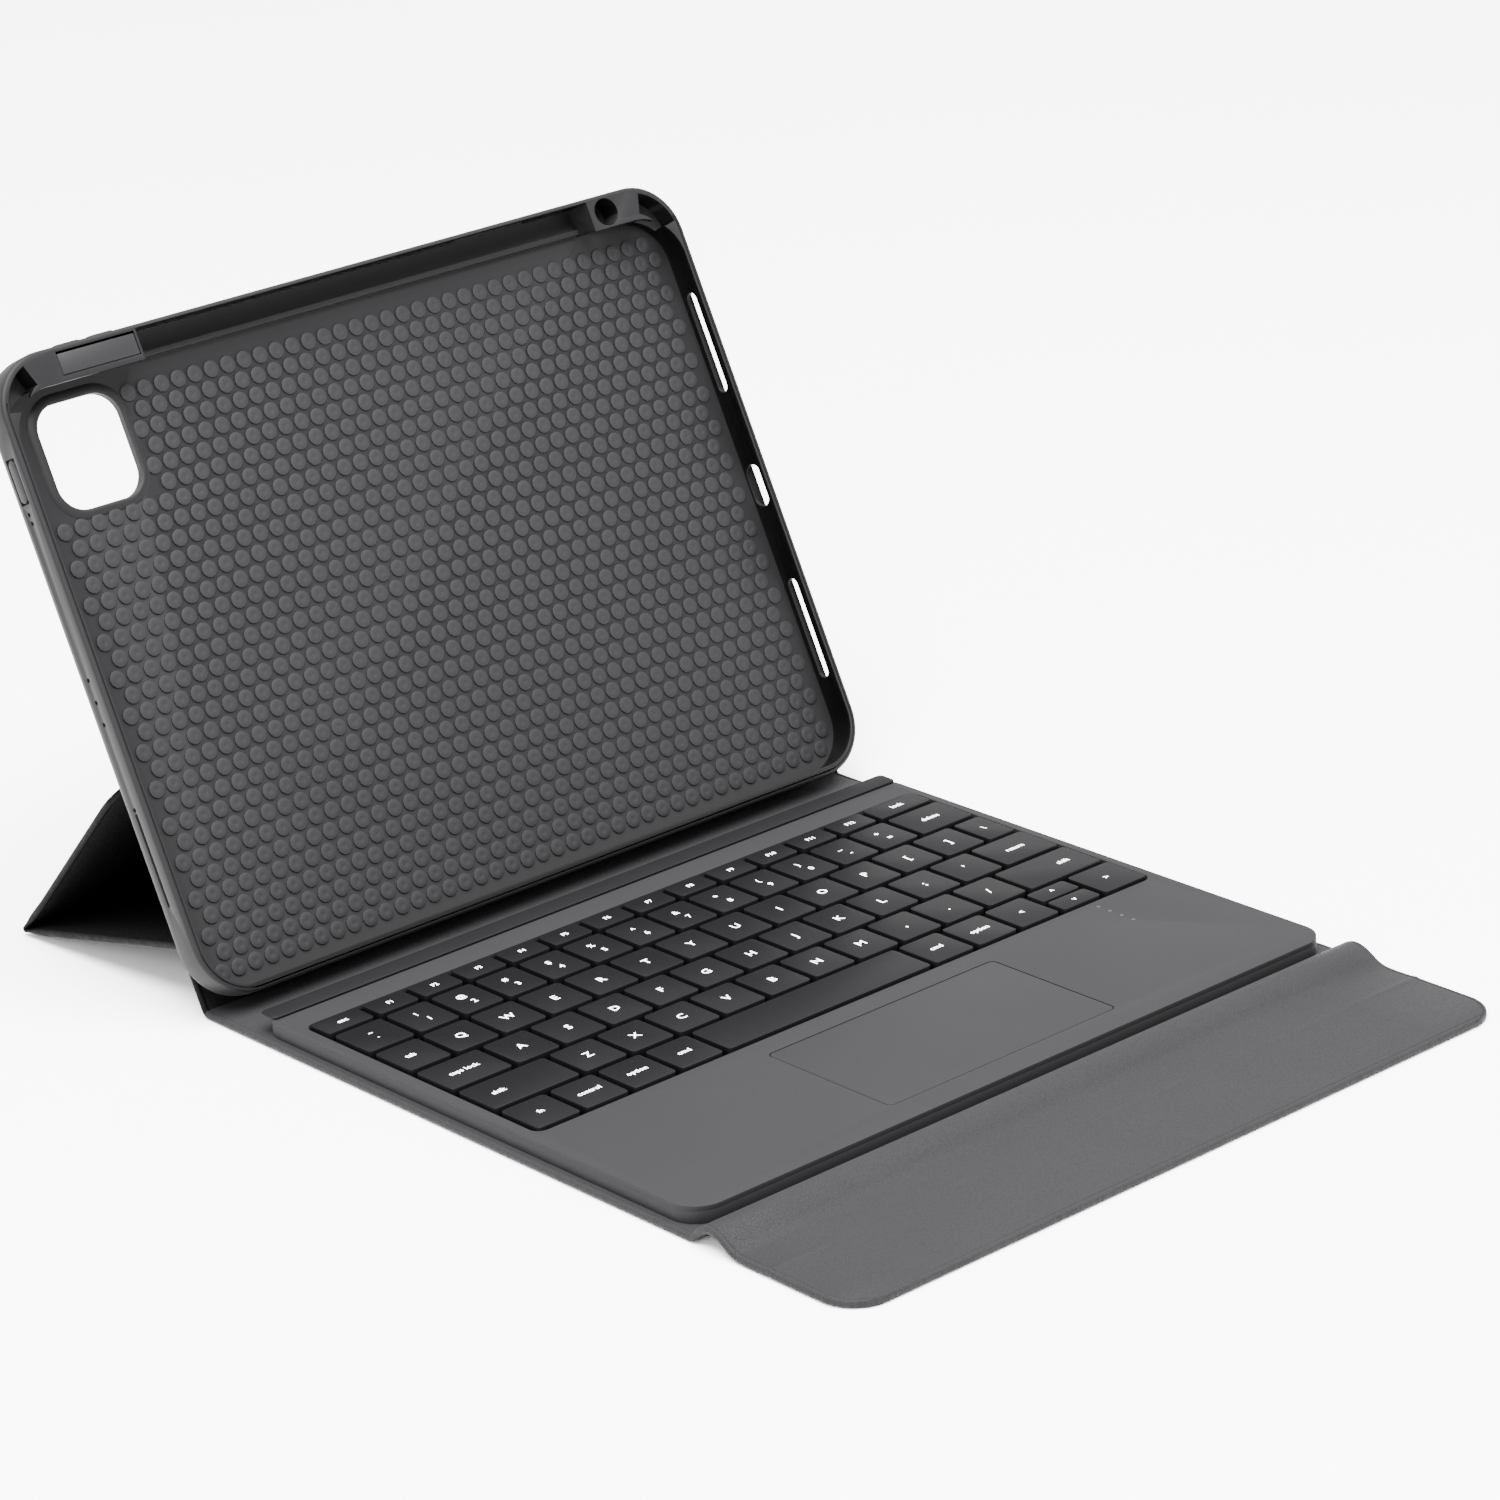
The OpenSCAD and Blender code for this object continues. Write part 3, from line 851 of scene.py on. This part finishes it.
            # Painted shade: the lining behind the keyboard, under the tray's lower edge, takes the
            # near-black leather.
            behind = rows[low].y > self.sizes.shade_behind_module and inner is LINING
            if column >= tops + 2 and edge < len(ring) - 4:
                face.material_index = outside
            elif seam_shade or behind:
                face.material_index = black
            else:
                face.material_index = lining if edge < tops else rim
        bpy.ops.object.mode_set(mode="EDIT")
        bpy.ops.mesh.select_all(action="SELECT")
        bpy.ops.mesh.remove_doubles(threshold=1e-6)
        bpy.ops.mesh.select_all(action="DESELECT")
        bpy.ops.mesh.select_mode(type="EDGE")
        bpy.ops.mesh.select_non_manifold(extend=False, use_boundary=True)
        bpy.ops.mesh.edge_face_add()
        bpy.ops.object.mode_set(mode="OBJECT")
        settle(obj, 50)
        # Slot 2 is the near-black leather that carries the painted shade.
        dress(obj, *(self.wardrobe[f] for f in (inner, OUTER_LEATHER, BLACK_AND_SHADE_LEATHER, LINING)))
        return obj

    def build(self) -> None:
        """Build the five stretches and put each in place of its CAD skins."""
        s = self.sizes
        rows, marks = self.rows()
        _, top, tip, end = self.stand_corners()
        lean = math.radians(s.tray_lean)
        rising = Vector((math.cos(lean), math.sin(lean)))
        down = (tip - top).normalized()
        up = (end - tip).normalized()
        first, second, third, fourth = marks

        def at(p: Vector) -> Vector:
            """Return a side-profile point in the frame."""
            return place(0, p.x, p.y)

        rest, fold = s.base_rest, s.fold_blend
        stretches = [
            (
                *("flap_leather", rows[: first + 1], LINING, "strip", "flap"),
                *(Vector((-214.0, rest)), Vector((-222.0, rest)), ["flap_skin"]),
            ),
            (
                *("front_leather", rows[first : second + 1], LINING, "base", "strip"),
                *(Vector((-187.5, rest)), Vector((-201.5, rest)), ["strip_skin"]),
            ),
            (
                *("base_leather", rows[second : third + 1], LINING, "base", "spine"),
                *(Vector((-4.0, rest)), Vector((4.0, rest)), ["base_skin", "spine_skin"]),
            ),
            (
                *("heel_leather", rows[third : fourth + 1], BLACK_AND_SHADE_LEATHER, "tray", "lower_back"),
                *(top - rising * 4, top + down * 4, ["heel_skin"]),
            ),
            (
                *("stand_leather", rows[fourth:], BLACK_AND_SHADE_LEATHER, "lower_back", "upper_back"),
                *(tip - down * fold, tip + up * fold, ["lower_back_skin", "upper_back_skin"]),
            ),
        ]
        for name, part, inner, a, b, start, stop, nodes in stretches:
            piece = self.loft(name, part, inner)
            at(start)
            at(stop)
            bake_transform(piece)
            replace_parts(piece, *nodes)
            LOG.info("cover: %s, %d faces", name, len(piece.data.polygons))


# ------------------------------------------------------------------ moulded pieces


@dataclass
class MouldedPiece:
    """A CAD solid with its moulded edges rounded."""

    node: str
    finish: Finish
    radius_mm: float = 0.3
    segments: int = 2
    limit_deg: float = 40.0

    def copy(self) -> bpy.types.Object:
        """Copy the node's mesh, merged into clean flat faces.

        Returns:
            The new object.
        """
        node = frame["nodes"][self.node]
        obj = bpy.data.objects.new(self.node + "_moulded", node.data.copy())
        bpy.context.scene.collection.objects.link(obj)
        only(obj)
        bpy.ops.object.mode_set(mode="EDIT")
        bpy.ops.mesh.select_all(action="SELECT")
        bpy.ops.mesh.remove_doubles(threshold=2e-6)
        bpy.ops.mesh.dissolve_limited(angle_limit=math.radians(0.4))
        bpy.ops.mesh.select_all(action="DESELECT")
        bpy.ops.object.mode_set(mode="OBJECT")
        return obj

    def soften(self, obj: bpy.types.Object) -> None:
        """Round the edges that want a radius of their own; most pieces have none."""

    def inlay(self, obj: bpy.types.Object, wardrobe: Wardrobe) -> None:
        """Give part of the piece a second finish; most pieces have none."""

    def build(self, wardrobe: Wardrobe) -> bpy.types.Object:
        """Round the edges, dress the piece and put it in the node's place.

        Args:
            wardrobe: the materials.

        Returns:
            The finished piece.
        """
        obj = self.copy()
        self.soften(obj)
        bevel = obj.modifiers.new("rounded edges", "BEVEL")
        bevel.width = self.radius_mm / MM
        bevel.segments = self.segments
        bevel.limit_method = "ANGLE"
        bevel.angle_limit = math.radians(self.limit_deg)
        bevel.use_clamp_overlap = True
        bevel.miter_outer = "MITER_ARC"
        only(obj)
        bpy.ops.object.modifier_apply(modifier=bevel.name)
        bpy.ops.object.shade_smooth_by_angle(angle=math.radians(30))
        dress(obj, wardrobe[self.finish])
        self.inlay(obj, wardrobe)
        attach(obj, frame["nodes"][self.node]["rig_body"])
        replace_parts(obj, self.node)
        slots = {p["node"]: p["material_slot"] for p in frame["record"]["subparts"]}
        slots[self.node]
        LOG.info("moulded: %s, %d faces", obj.name, len(obj.data.polygons))
        return obj


@dataclass
class Tray(MouldedPiece):
    """The tray's shell, whose outside is rounded far more than its slots."""

    sizes: TraySizes = field(default_factory=TraySizes)

    def local(self, co: Vector) -> tuple[float, float, float]:
        """Measure a frame point in the tray's own plane.

        Args:
            co: the point, in metres.

        Returns:
            How far it is across, up and out of the tray, in millimetres.
        """
        s = self.sizes
        lean = math.radians(s.lean)
        y = co.y * MM - HINGE_Y - s.foot[0]
        z = co.z * MM - s.foot[1]
        up = y * math.cos(lean) + z * math.sin(lean)
        out = -y * math.sin(lean) + z * math.cos(lean)
        return co.x * MM, up, out

    def point(self, x: float, v: float, n: float) -> Vector:
        """Return the frame point of a place on the tray.

        Args:
            x: distance across the tray, in millimetres.
            v: distance up the tray.
            n: distance out of the tray.

        Returns:
            The point in metres.
        """
        s = self.sizes
        lean = math.radians(s.lean)
        return place(
            x,
            s.foot[0] + v * math.cos(lean) - n * math.sin(lean),
            s.foot[1] + v * math.sin(lean) + n * math.cos(lean),
        )

    @staticmethod
    def margin(
        x: float, v: float, width: float, low: float, high: float, corner: float
    ) -> float:
        """Return how far inside a rounded outline a place is, in millimetres.

        Args:
            x: distance across the tray.
            v: distance up the tray.
            width: the outline's width.
            low: the outline's lower edge.
            high: the outline's upper edge.
            corner: the outline's corner radius.

        Returns:
            The distance to the outline, positive inside.
        """
        dx = abs(x) - (width / 2 - corner)
        dv = abs(v - (low + high) / 2) - ((high - low) / 2 - corner)
        outside = math.hypot(max(dx, 0.0), max(dv, 0.0))
        return corner - (outside + min(max(dx, dv), 0.0))

    def rim_margin(self, x: float, v: float) -> float:
        """Return how far inside the tray's outline a place is, in millimetres."""
        return self.margin(x, v, self.sizes.width, 0, self.sizes.height, self.sizes.corner)

    def soften(self, obj: bpy.types.Object) -> None:
        """Round the back and the rim's outer edge more than the rest.

        Args:
            obj: the merged copy of the shell.
        """
        s = self.sizes
        mesh = obj.data
        work = bmesh.new()
        work.from_mesh(mesh)
        for depth, radius, segments in ((-s.depth, s.back_round, 6), (0.0, s.rim_round, 3)):
            outline = [
                edge
                for edge in work.edges
                if len(edge.link_faces) == 2
                and edge.calc_face_angle() > math.radians(40)
                and all(
                    abs(n - depth) < 0.02 and abs(self.rim_margin(x, v)) < 0.06
                    for x, v, n in (self.local(end.co) for end in edge.verts)
                )
            ]
            bmesh.ops.bevel(
                work,
                geom=outline,
                offset=radius / MM,
                segments=segments,
                profile=0.5,
                affect="EDGES",
            )
        work.to_mesh(mesh)
        work.free()

    def inlay(self, obj: bpy.types.Object, wardrobe: Wardrobe) -> None:
        """Paint shade on the walls and hollows with a near-black, smoother copy of the rubber.

        Args:
            obj: the rounded shell.
            wardrobe: the materials.
        """
        s = self.sizes
        obj.data.materials.append(wardrobe[TRAY_PAINTED_SHADE])
        lean = math.radians(s.lean)
        outward = Vector((0, -math.sin(lean), math.cos(lean)))
        for face in obj.data.polygons:
            x, v, n = self.local(face.center)
            inside = self.rim_margin(x, v) > 1.1 and -11.5 < n < -0.25
            wall = abs(face.normal.dot(outward)) < 0.5 or v > 181.5
            rail = s.rail_low < v < s.rail_high and n > -8.6
            # Painted shade: the walls and the pencil channel take the near-black rubber, while the
            # rail keeps the plain rubber.
            if inside and wall and not rail:
                face.material_index = 1

    def pads(self, wardrobe: Wardrobe) -> None:
        """Cover the pocket's floor with low round pads that grip the tablet.

        Args:
            wardrobe: the materials.
        """
        s = self.sizes
        pitch_x, pitch_v = 5.88, 5.5
        radius, rise = 2.55, 0.45
        columns, pairs = 42, 16
        start = (-89.9 - 5 * pitch_x, 90.6 - 15 * pitch_v)
        bpy.ops.object.select_all(action="DESELECT")
        bpy.ops.mesh.primitive_cylinder_add(
            vertices=12, radius=radius / MM, depth=rise / MM, location=(0, 0, 0)
        )
        obj = fresh("pad_field")
        bpy.ops.object.mode_set(mode="EDIT")
        bpy.ops.mesh.select_mode(type="FACE")
        work = bmesh.from_edit_mesh(obj.data)
        for face in work.faces:
            face.select = face.normal.z > 0.9
        bmesh.update_edit_mesh(obj.data)
        bpy.ops.mesh.inset(thickness=0.0006, depth=0.00014)
        bpy.ops.mesh.inset(thickness=0.0010, depth=0.00003)
        bpy.ops.mesh.inset(thickness=0.0004, depth=-0.0001)
        bpy.ops.object.mode_set(mode="OBJECT")
        per_pad = len(obj.data.vertices)
        only(obj)
        repeats = (
            (columns, (pitch_x, 0, 0)),
            (pairs, (0, 2 * pitch_v, 0)),
            (2, (pitch_x / 2, pitch_v, 0)),
        )
        for count, step in repeats:
            array = obj.modifiers.new("repeat", "ARRAY")
            array.use_relative_offset = False
            array.use_constant_offset = True
            array.count = count
            array.constant_offset_displace = [c / MM for c in step]
            bpy.ops.object.modifier_apply(modifier=array.name)
        mesh = obj.data
        cx, cv = s.camera_centre
        width, height = s.camera_size
        block_edge = -113.5  # the volume block stands beyond it
        drop = []
        for first in range(0, len(mesh.vertices), per_pad):
            group = range(first, first + per_pad)
            x = sum(mesh.vertices[i].co.x for i in group) / per_pad * MM + start[0]
            v = sum(mesh.vertices[i].co.y for i in group) / per_pad * MM + start[1]
            wall = self.margin(
                x, v, s.pocket_width, s.pocket_low, s.pocket_high, s.pocket_corner
            )
            hole = self.margin(x - cx, v, width + 10, cv - height / 2 - 5, cv + height / 2 + 5, 12)
            if wall < radius + 1.2 or hole > -radius + 3.4 or x < block_edge:
                drop.extend(group)
        sunk = 0.05
        floor = s.floor + rise / 2 - sunk
        for vert in mesh.vertices:
            x, v, n = vert.co * MM
            vert.co = self.point(x + start[0], v + start[1], n + floor)
        work = bmesh.new()
        work.from_mesh(mesh)
        work.verts.ensure_lookup_table()
        bmesh.ops.delete(work, geom=[work.verts[i] for i in drop], context="VERTS")
        work.to_mesh(mesh)
        work.free()
        settle(obj, 25)
        # Painted light: the pads' tops are a lighter copy of the floor's rubber.
        dress(obj, wardrobe[PAINTED_LIGHT_RUBBER])
        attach(obj, "tray")
        LOG.info("tray: pad_field, %d faces", len(obj.data.polygons))

    def camera_collar(self, wardrobe: Wardrobe) -> None:
        """Raise a soft collar round the camera opening.

        Args:
            wardrobe: the materials.
        """
        s = self.sizes
        cx, cv = s.camera_centre
        width, height = s.camera_size
        profile = [
            (0.0, -1.9),
            (0.0, 0.3),
            (0.35, 0.62),
            (0.9, 0.7),
            (1.8, 0.62),
            (2.6, 0.3),
            (3.2, -0.2),
            (3.2, -1.9),
        ]
        corner, steps = 8.0, 8
        outline: list[tuple[float, float, float, float]] = []
        for quarter, (sx, sv) in enumerate(((1, 1), (-1, 1), (-1, -1), (1, -1))):
            for i in range(steps + 1):
                a = math.radians(90 * (quarter + i / steps))
                ox = sx * (width / 2 - corner)
                ov = sv * (height / 2 - corner)
                outline.append((ox, ov, math.cos(a), math.sin(a)))
        bpy.ops.object.select_all(action="DESELECT")
        bpy.ops.mesh.primitive_grid_add(
            x_subdivisions=len(profile), y_subdivisions=len(outline), size=1
        )
        obj = fresh("camera_collar")
        columns = len(profile) + 1
        overlap = 0.02
        for i in range(len(outline) + 1):
            ox, ov, c, d = outline[i % len(outline)]
            for j in range(columns):
                back, lift = profile[j % len(profile)]
                reach = corner + back - overlap
                vert = obj.data.vertices[i * columns + j]
                vert.co = self.point(cx + ox + c * reach, cv + ov + d * reach, s.floor + lift)
        bpy.ops.object.mode_set(mode="EDIT")
        bpy.ops.mesh.select_all(action="SELECT")
        bpy.ops.mesh.remove_doubles(threshold=1e-6)
        bpy.ops.object.mode_set(mode="OBJECT")
        settle(obj, 40)
        dress(obj, wardrobe[self.finish])
        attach(obj, "tray")
        LOG.info("tray: camera_collar, %d faces", len(obj.data.polygons))


# ------------------------------------------------------------------ keyboard


@dataclass(frozen=True)
class KeyRow:
    """A row of key caps: its middle, its first key and its pitch, in millimetres."""

    y: float
    first: float
    pitch: float
    labels: tuple[str, ...]


@dataclass
class Legends:
    """Plain printed legends, one set for each key's body."""

    wardrobe: Wardrobe
    top: float = 7.8
    letter: float = 4.1
    word: float = 2.7
    function: float = 2.4
    sign: float = 3.0
    digit: float = 3.1
    accent: float = 2.6
    pitch: float = 15.9
    letter_pitch: float = 16.85
    front: float = -111.6
    thickness: float = 0.03

    def rows(self) -> dict[str, list[tuple[str, float, float, float]]]:
        """Return every legend by body.

        Returns:
            Body name to a list of text, x, y and size.
        """
        marks: dict[str, list[tuple[str, float, float, float]]] = {}
        functions = tuple(f"F{i}" for i in range(1, 13))
        upper_row = tuple("QWERTYUIOP") + ("[", "]")
        home_row = tuple("ASDFGHJKL") + (";", "'")
        lower_row = tuple("ZXCVBNM") + (",", ".", "/")
        wide, letter = self.letter_pitch, self.letter
        rows = [
            ("function_keys", KeyRow(-24.3, -89.4, self.pitch, functions), self.function),
            ("top_letter_keys", KeyRow(-57.15, -90.4, wide, upper_row), letter),
            ("home_letter_keys", KeyRow(-75.3, -83.8, wide, home_row), letter),
            ("bottom_letter_keys", KeyRow(-93.45, -75.1, wide, lower_row), letter),
        ]
        for body, row, size in rows:
            marks[body] = [
                (t, row.first + i * row.pitch, row.y, size) for i, t in enumerate(row.labels)
            ]
        shifted, plain = "!@#$%^&*()_+", "1234567890-="
        numbers = [("~", -106.3, -37.0, self.accent), ("`", -106.3, -41.6, self.accent)]
        for i, (high, low) in enumerate(zip(shifted, plain)):
            x = -89.4 + i * self.pitch
            numbers += [(high, x - 0.6, -36.7, self.digit), (low, x + 0.6, -41.4, self.digit)]
        marks["number_keys"] = numbers
        words = [
            ("escape_key", "esc", -106.3, -24.3),
            ("lock_key", "lock", 104.6, -24.3),
            ("backspace_key", "delete", 104.6, -39.0),
            ("tab_key", "tab", -108.0, -57.15),
            ("backslash_key", "\\", 109.5, -57.15),
            ("caps_lock_key", "caps lock", -104.0, -75.3),
            ("return_key", "return", 104.6, -75.3),
            ("left_shift_key", "shift", -106.5, -93.45),
            ("right_shift_key", "shift", 106.5, -93.45),
            ("globe_key", "fn", -106.85, self.front),
            ("control_key", "control", -90.0, self.front),
            ("left_option_key", "option", -73.15, self.front),
            ("left_command_key", "cmd", -56.3, self.front),
            ("right_command_key", "cmd", 38.2, self.front),
            ("right_option_key", "option", 55.05, self.front),
            ("left_arrow_key", "<", 71.9, self.front),
            ("up_arrow_key", "^", 88.75, -107.2),
            ("down_arrow_key", "v", 88.75, -115.9),
            ("right_arrow_key", ">", 106.4, self.front),
        ]
        for body, text, x, y in words:
            marks[body] = [(text, x, y, self.word if len(text) > 1 else self.sign)]
        return marks

    def build(self) -> None:
        """Print each body's legends on its key caps."""
        rows = self.rows()
        for body, marks in rows.items():
            made = []
            for text, x, y, size in marks:
                bpy.ops.object.select_all(action="DESELECT")
                bpy.ops.object.text_add(location=place(x, y, self.top))
                obj = bpy.context.active_object
                obj.data.body = text
                obj.data.size = size / MM
                obj.data.align_x = "CENTER"
                obj.data.align_y = "CENTER"
                obj.data.extrude = self.thickness / MM
                obj.data.offset = size * 0.000014  # a little bolder than the plain font
                obj.data.resolution_u = 2
                made.append(obj)
            bpy.ops.object.select_all(action="DESELECT")
            for obj in made:
                obj.select_set(True)
            bpy.context.view_layer.objects.active = made[0]
            bpy.ops.object.convert(target="MESH")
            bpy.ops.object.join()
            piece = fresh(body + "_legend")
            bpy.ops.object.mode_set(mode="EDIT")
            bpy.ops.mesh.select_all(action="SELECT")
            bpy.ops.mesh.remove_doubles(threshold=1e-7)
            bpy.ops.object.mode_set(mode="OBJECT")
            bpy.ops.object.transform_apply(location=True, rotation=True, scale=True)
            dress(piece, self.wardrobe[LEGEND_INK])
            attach(piece, body)
        LOG.info("legends printed on %d bodies", len(rows))


@dataclass
class Keyboard:
    """The keyboard's body, trackpad and key caps."""

    wardrobe: Wardrobe

    def build(self) -> None:
        """Round and dress every visible piece of the keyboard."""
        for node, finish, radius, segments in (
            ("module_case", DECK_PAINT, 0.5, 2),
            ("module_deck", DECK_PAINT, 0.45, 3),
            # The rear ridge is painted darker: painted shade on its slope toward the tray.
            ("rear_ridge", SHADED_RIDGE_ABS, 0.4, 3),
            ("pad_surface", DECK_PAINT, 0.3, 2),
            ("power_switch", KEY_ABS, 0.2, 2),
        ):
            MouldedPiece(node, finish, radius, segments).build(self.wardrobe)
        caps = ("_key", "_keys", "space_bar")
        keys = sorted(n for n in frame["nodes"] if n.endswith(caps))
        for node in keys:
            MouldedPiece(node, KEY_ABS, 0.3, 2).build(self.wardrobe)
        Legends(self.wardrobe).build()


@dataclass
class HiddenParts:
    """The parts that stay as the CAD has them and only take a finish."""

    wardrobe: Wardrobe

    def build(self) -> None:
        """Dress each node in the finish of its real material."""
        finishes = {
            STEEL: (
                *("tray_magnets", "stand_magnets", "flap_magnets"),
                *("pad_switch", "charging_port", "case_screws"),
            ),
            GREY_BOARD: ("base_board", "lower_back_board", "upper_back_board", "flap_board"),
            FILM: ("membrane", "key_plate"),
            SILICONE: ("rubber_domes",),
            NATURAL_PLASTIC: ("scissor_links",),
            CIRCUIT: ("main_board", "pad_board"),
            FOIL: ("battery",),
            LENS: ("indicator_lenses",),
        }
        for finish, nodes in finishes.items():
            for node in nodes:
                dress(frame["nodes"][node], self.wardrobe[finish])
        replaced = {n for o in bpy.data.objects for n in o.get("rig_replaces", [])}
        for name, obj in frame["nodes"].items():
            if name not in replaced and not any(name in nodes for nodes in finishes.values()):
                dress(obj, self.wardrobe[DARK_ABS])
                LOG.info("plain finish: %s", name)


# ------------------------------------------------------------------ studio


@dataclass
class Studio:
    """The floor, the lights and the camera."""

    wardrobe: Wardrobe
    yaw_deg: float = 40.48
    pitch_deg: float = 21.07
    roll_deg: float = -3.28
    sensor_mm: float = 36.0
    lens_mm: float = 125.2176
    stand: tuple[float, float, float] = (-878.2, -1040.6, 592.2)
    sky: float = 2.3

    def camera(self) -> None:
        """Stand the camera in front and to the left of the typist."""
        yaw, pitch, roll = (math.radians(a) for a in (self.yaw_deg, self.pitch_deg, self.roll_deg))
        level_x, level_y = math.sin(yaw) * math.cos(pitch), math.cos(yaw) * math.cos(pitch)
        ahead = Vector((level_x, level_y, -math.sin(pitch)))
        level = Vector((math.cos(yaw), -math.sin(yaw), 0))
        above = level.cross(ahead)
        right = math.cos(roll) * level + math.sin(roll) * above
        up = -math.sin(roll) * level + math.cos(roll) * above
        data = bpy.data.cameras.new("camera")
        data.sensor_width = self.sensor_mm
        data.lens = self.lens_mm
        data.clip_start = 0.01
        data.clip_end = 50
        obj = bpy.data.objects.new("camera", data)
        bpy.context.scene.collection.objects.link(obj)
        turn = Matrix((right, up, -ahead)).transposed().to_4x4()
        obj.matrix_world = Matrix.Translation(Vector(self.stand) / MM) @ turn
        bpy.context.scene.camera = obj

    def floor(self) -> None:
        """Lay a plain pale floor."""
        bpy.ops.object.select_all(action="DESELECT")
        bpy.ops.mesh.primitive_plane_add(size=12, location=(0, 0, -0.0002))
        obj = fresh("studio_floor")
        bpy.ops.object.transform_apply(location=True, rotation=True, scale=True)
        dress(obj, self.wardrobe[TABLE])

    def light(self, name: str, at: tuple[float, float, float], size: float, power: float) -> None:
        """Hang a soft light that faces the case.

        Args:
            name: the light's name.
            at: where it hangs, in metres.
            size: its width in metres.
            power: its power in watts.
        """
        data = bpy.data.lights.new(name, "AREA")
        data.shape = "DISK"
        data.size = size
        data.energy = power
        obj = bpy.data.objects.new(name, data)
        obj.location = at
        aim = Vector((0, 0, 0.05)) - Vector(at)
        obj.rotation_euler = aim.to_track_quat("-Z", "Y").to_euler()
        bpy.context.scene.collection.objects.link(obj)

    def build(self) -> None:
        """Set up the studio."""
        self.camera()
        self.floor()
        world = bpy.data.worlds.new("studio")
        bpy.context.scene.world = world
        world.use_nodes = True
        sky = world.node_tree.nodes["Background"]
        sky.inputs["Color"].default_value = (1, 1, 1, 1)
        sky.inputs["Strength"].default_value = self.sky
        self.light("overhead_light", (-0.3, -0.5, 2.6), 3.0, 800)
        self.light("front_light", (-2.4, -1.6, 1.5), 1.4, 70)


def main() -> None:
    """Build the whole case in order."""
    logging.basicConfig(level=logging.INFO, format="%(message)s")
    wardrobe = Wardrobe()
    Studio(wardrobe).build()
    FoldedCover(wardrobe).build()
    tray = Tray("tray_shell", TRAY_RUBBER, 0.2, 2)
    tray.build(wardrobe)
    tray.pads(wardrobe)
    tray.camera_collar(wardrobe)
    for node in ("volume_up_cover", "volume_down_cover", "power_cover"):
        MouldedPiece(node, TRAY_RUBBER, 0.4, 2).build(wardrobe)
    # The volume block takes the same rubber painted lighter.
    MouldedPiece("volume_block", PAINTED_LIGHT_RUBBER, 0.25, 2).build(wardrobe)
    Keyboard(wardrobe).build()
    HiddenParts(wardrobe).build()
    LOG.info("case built")


if __name__ == "__main__":
    main()
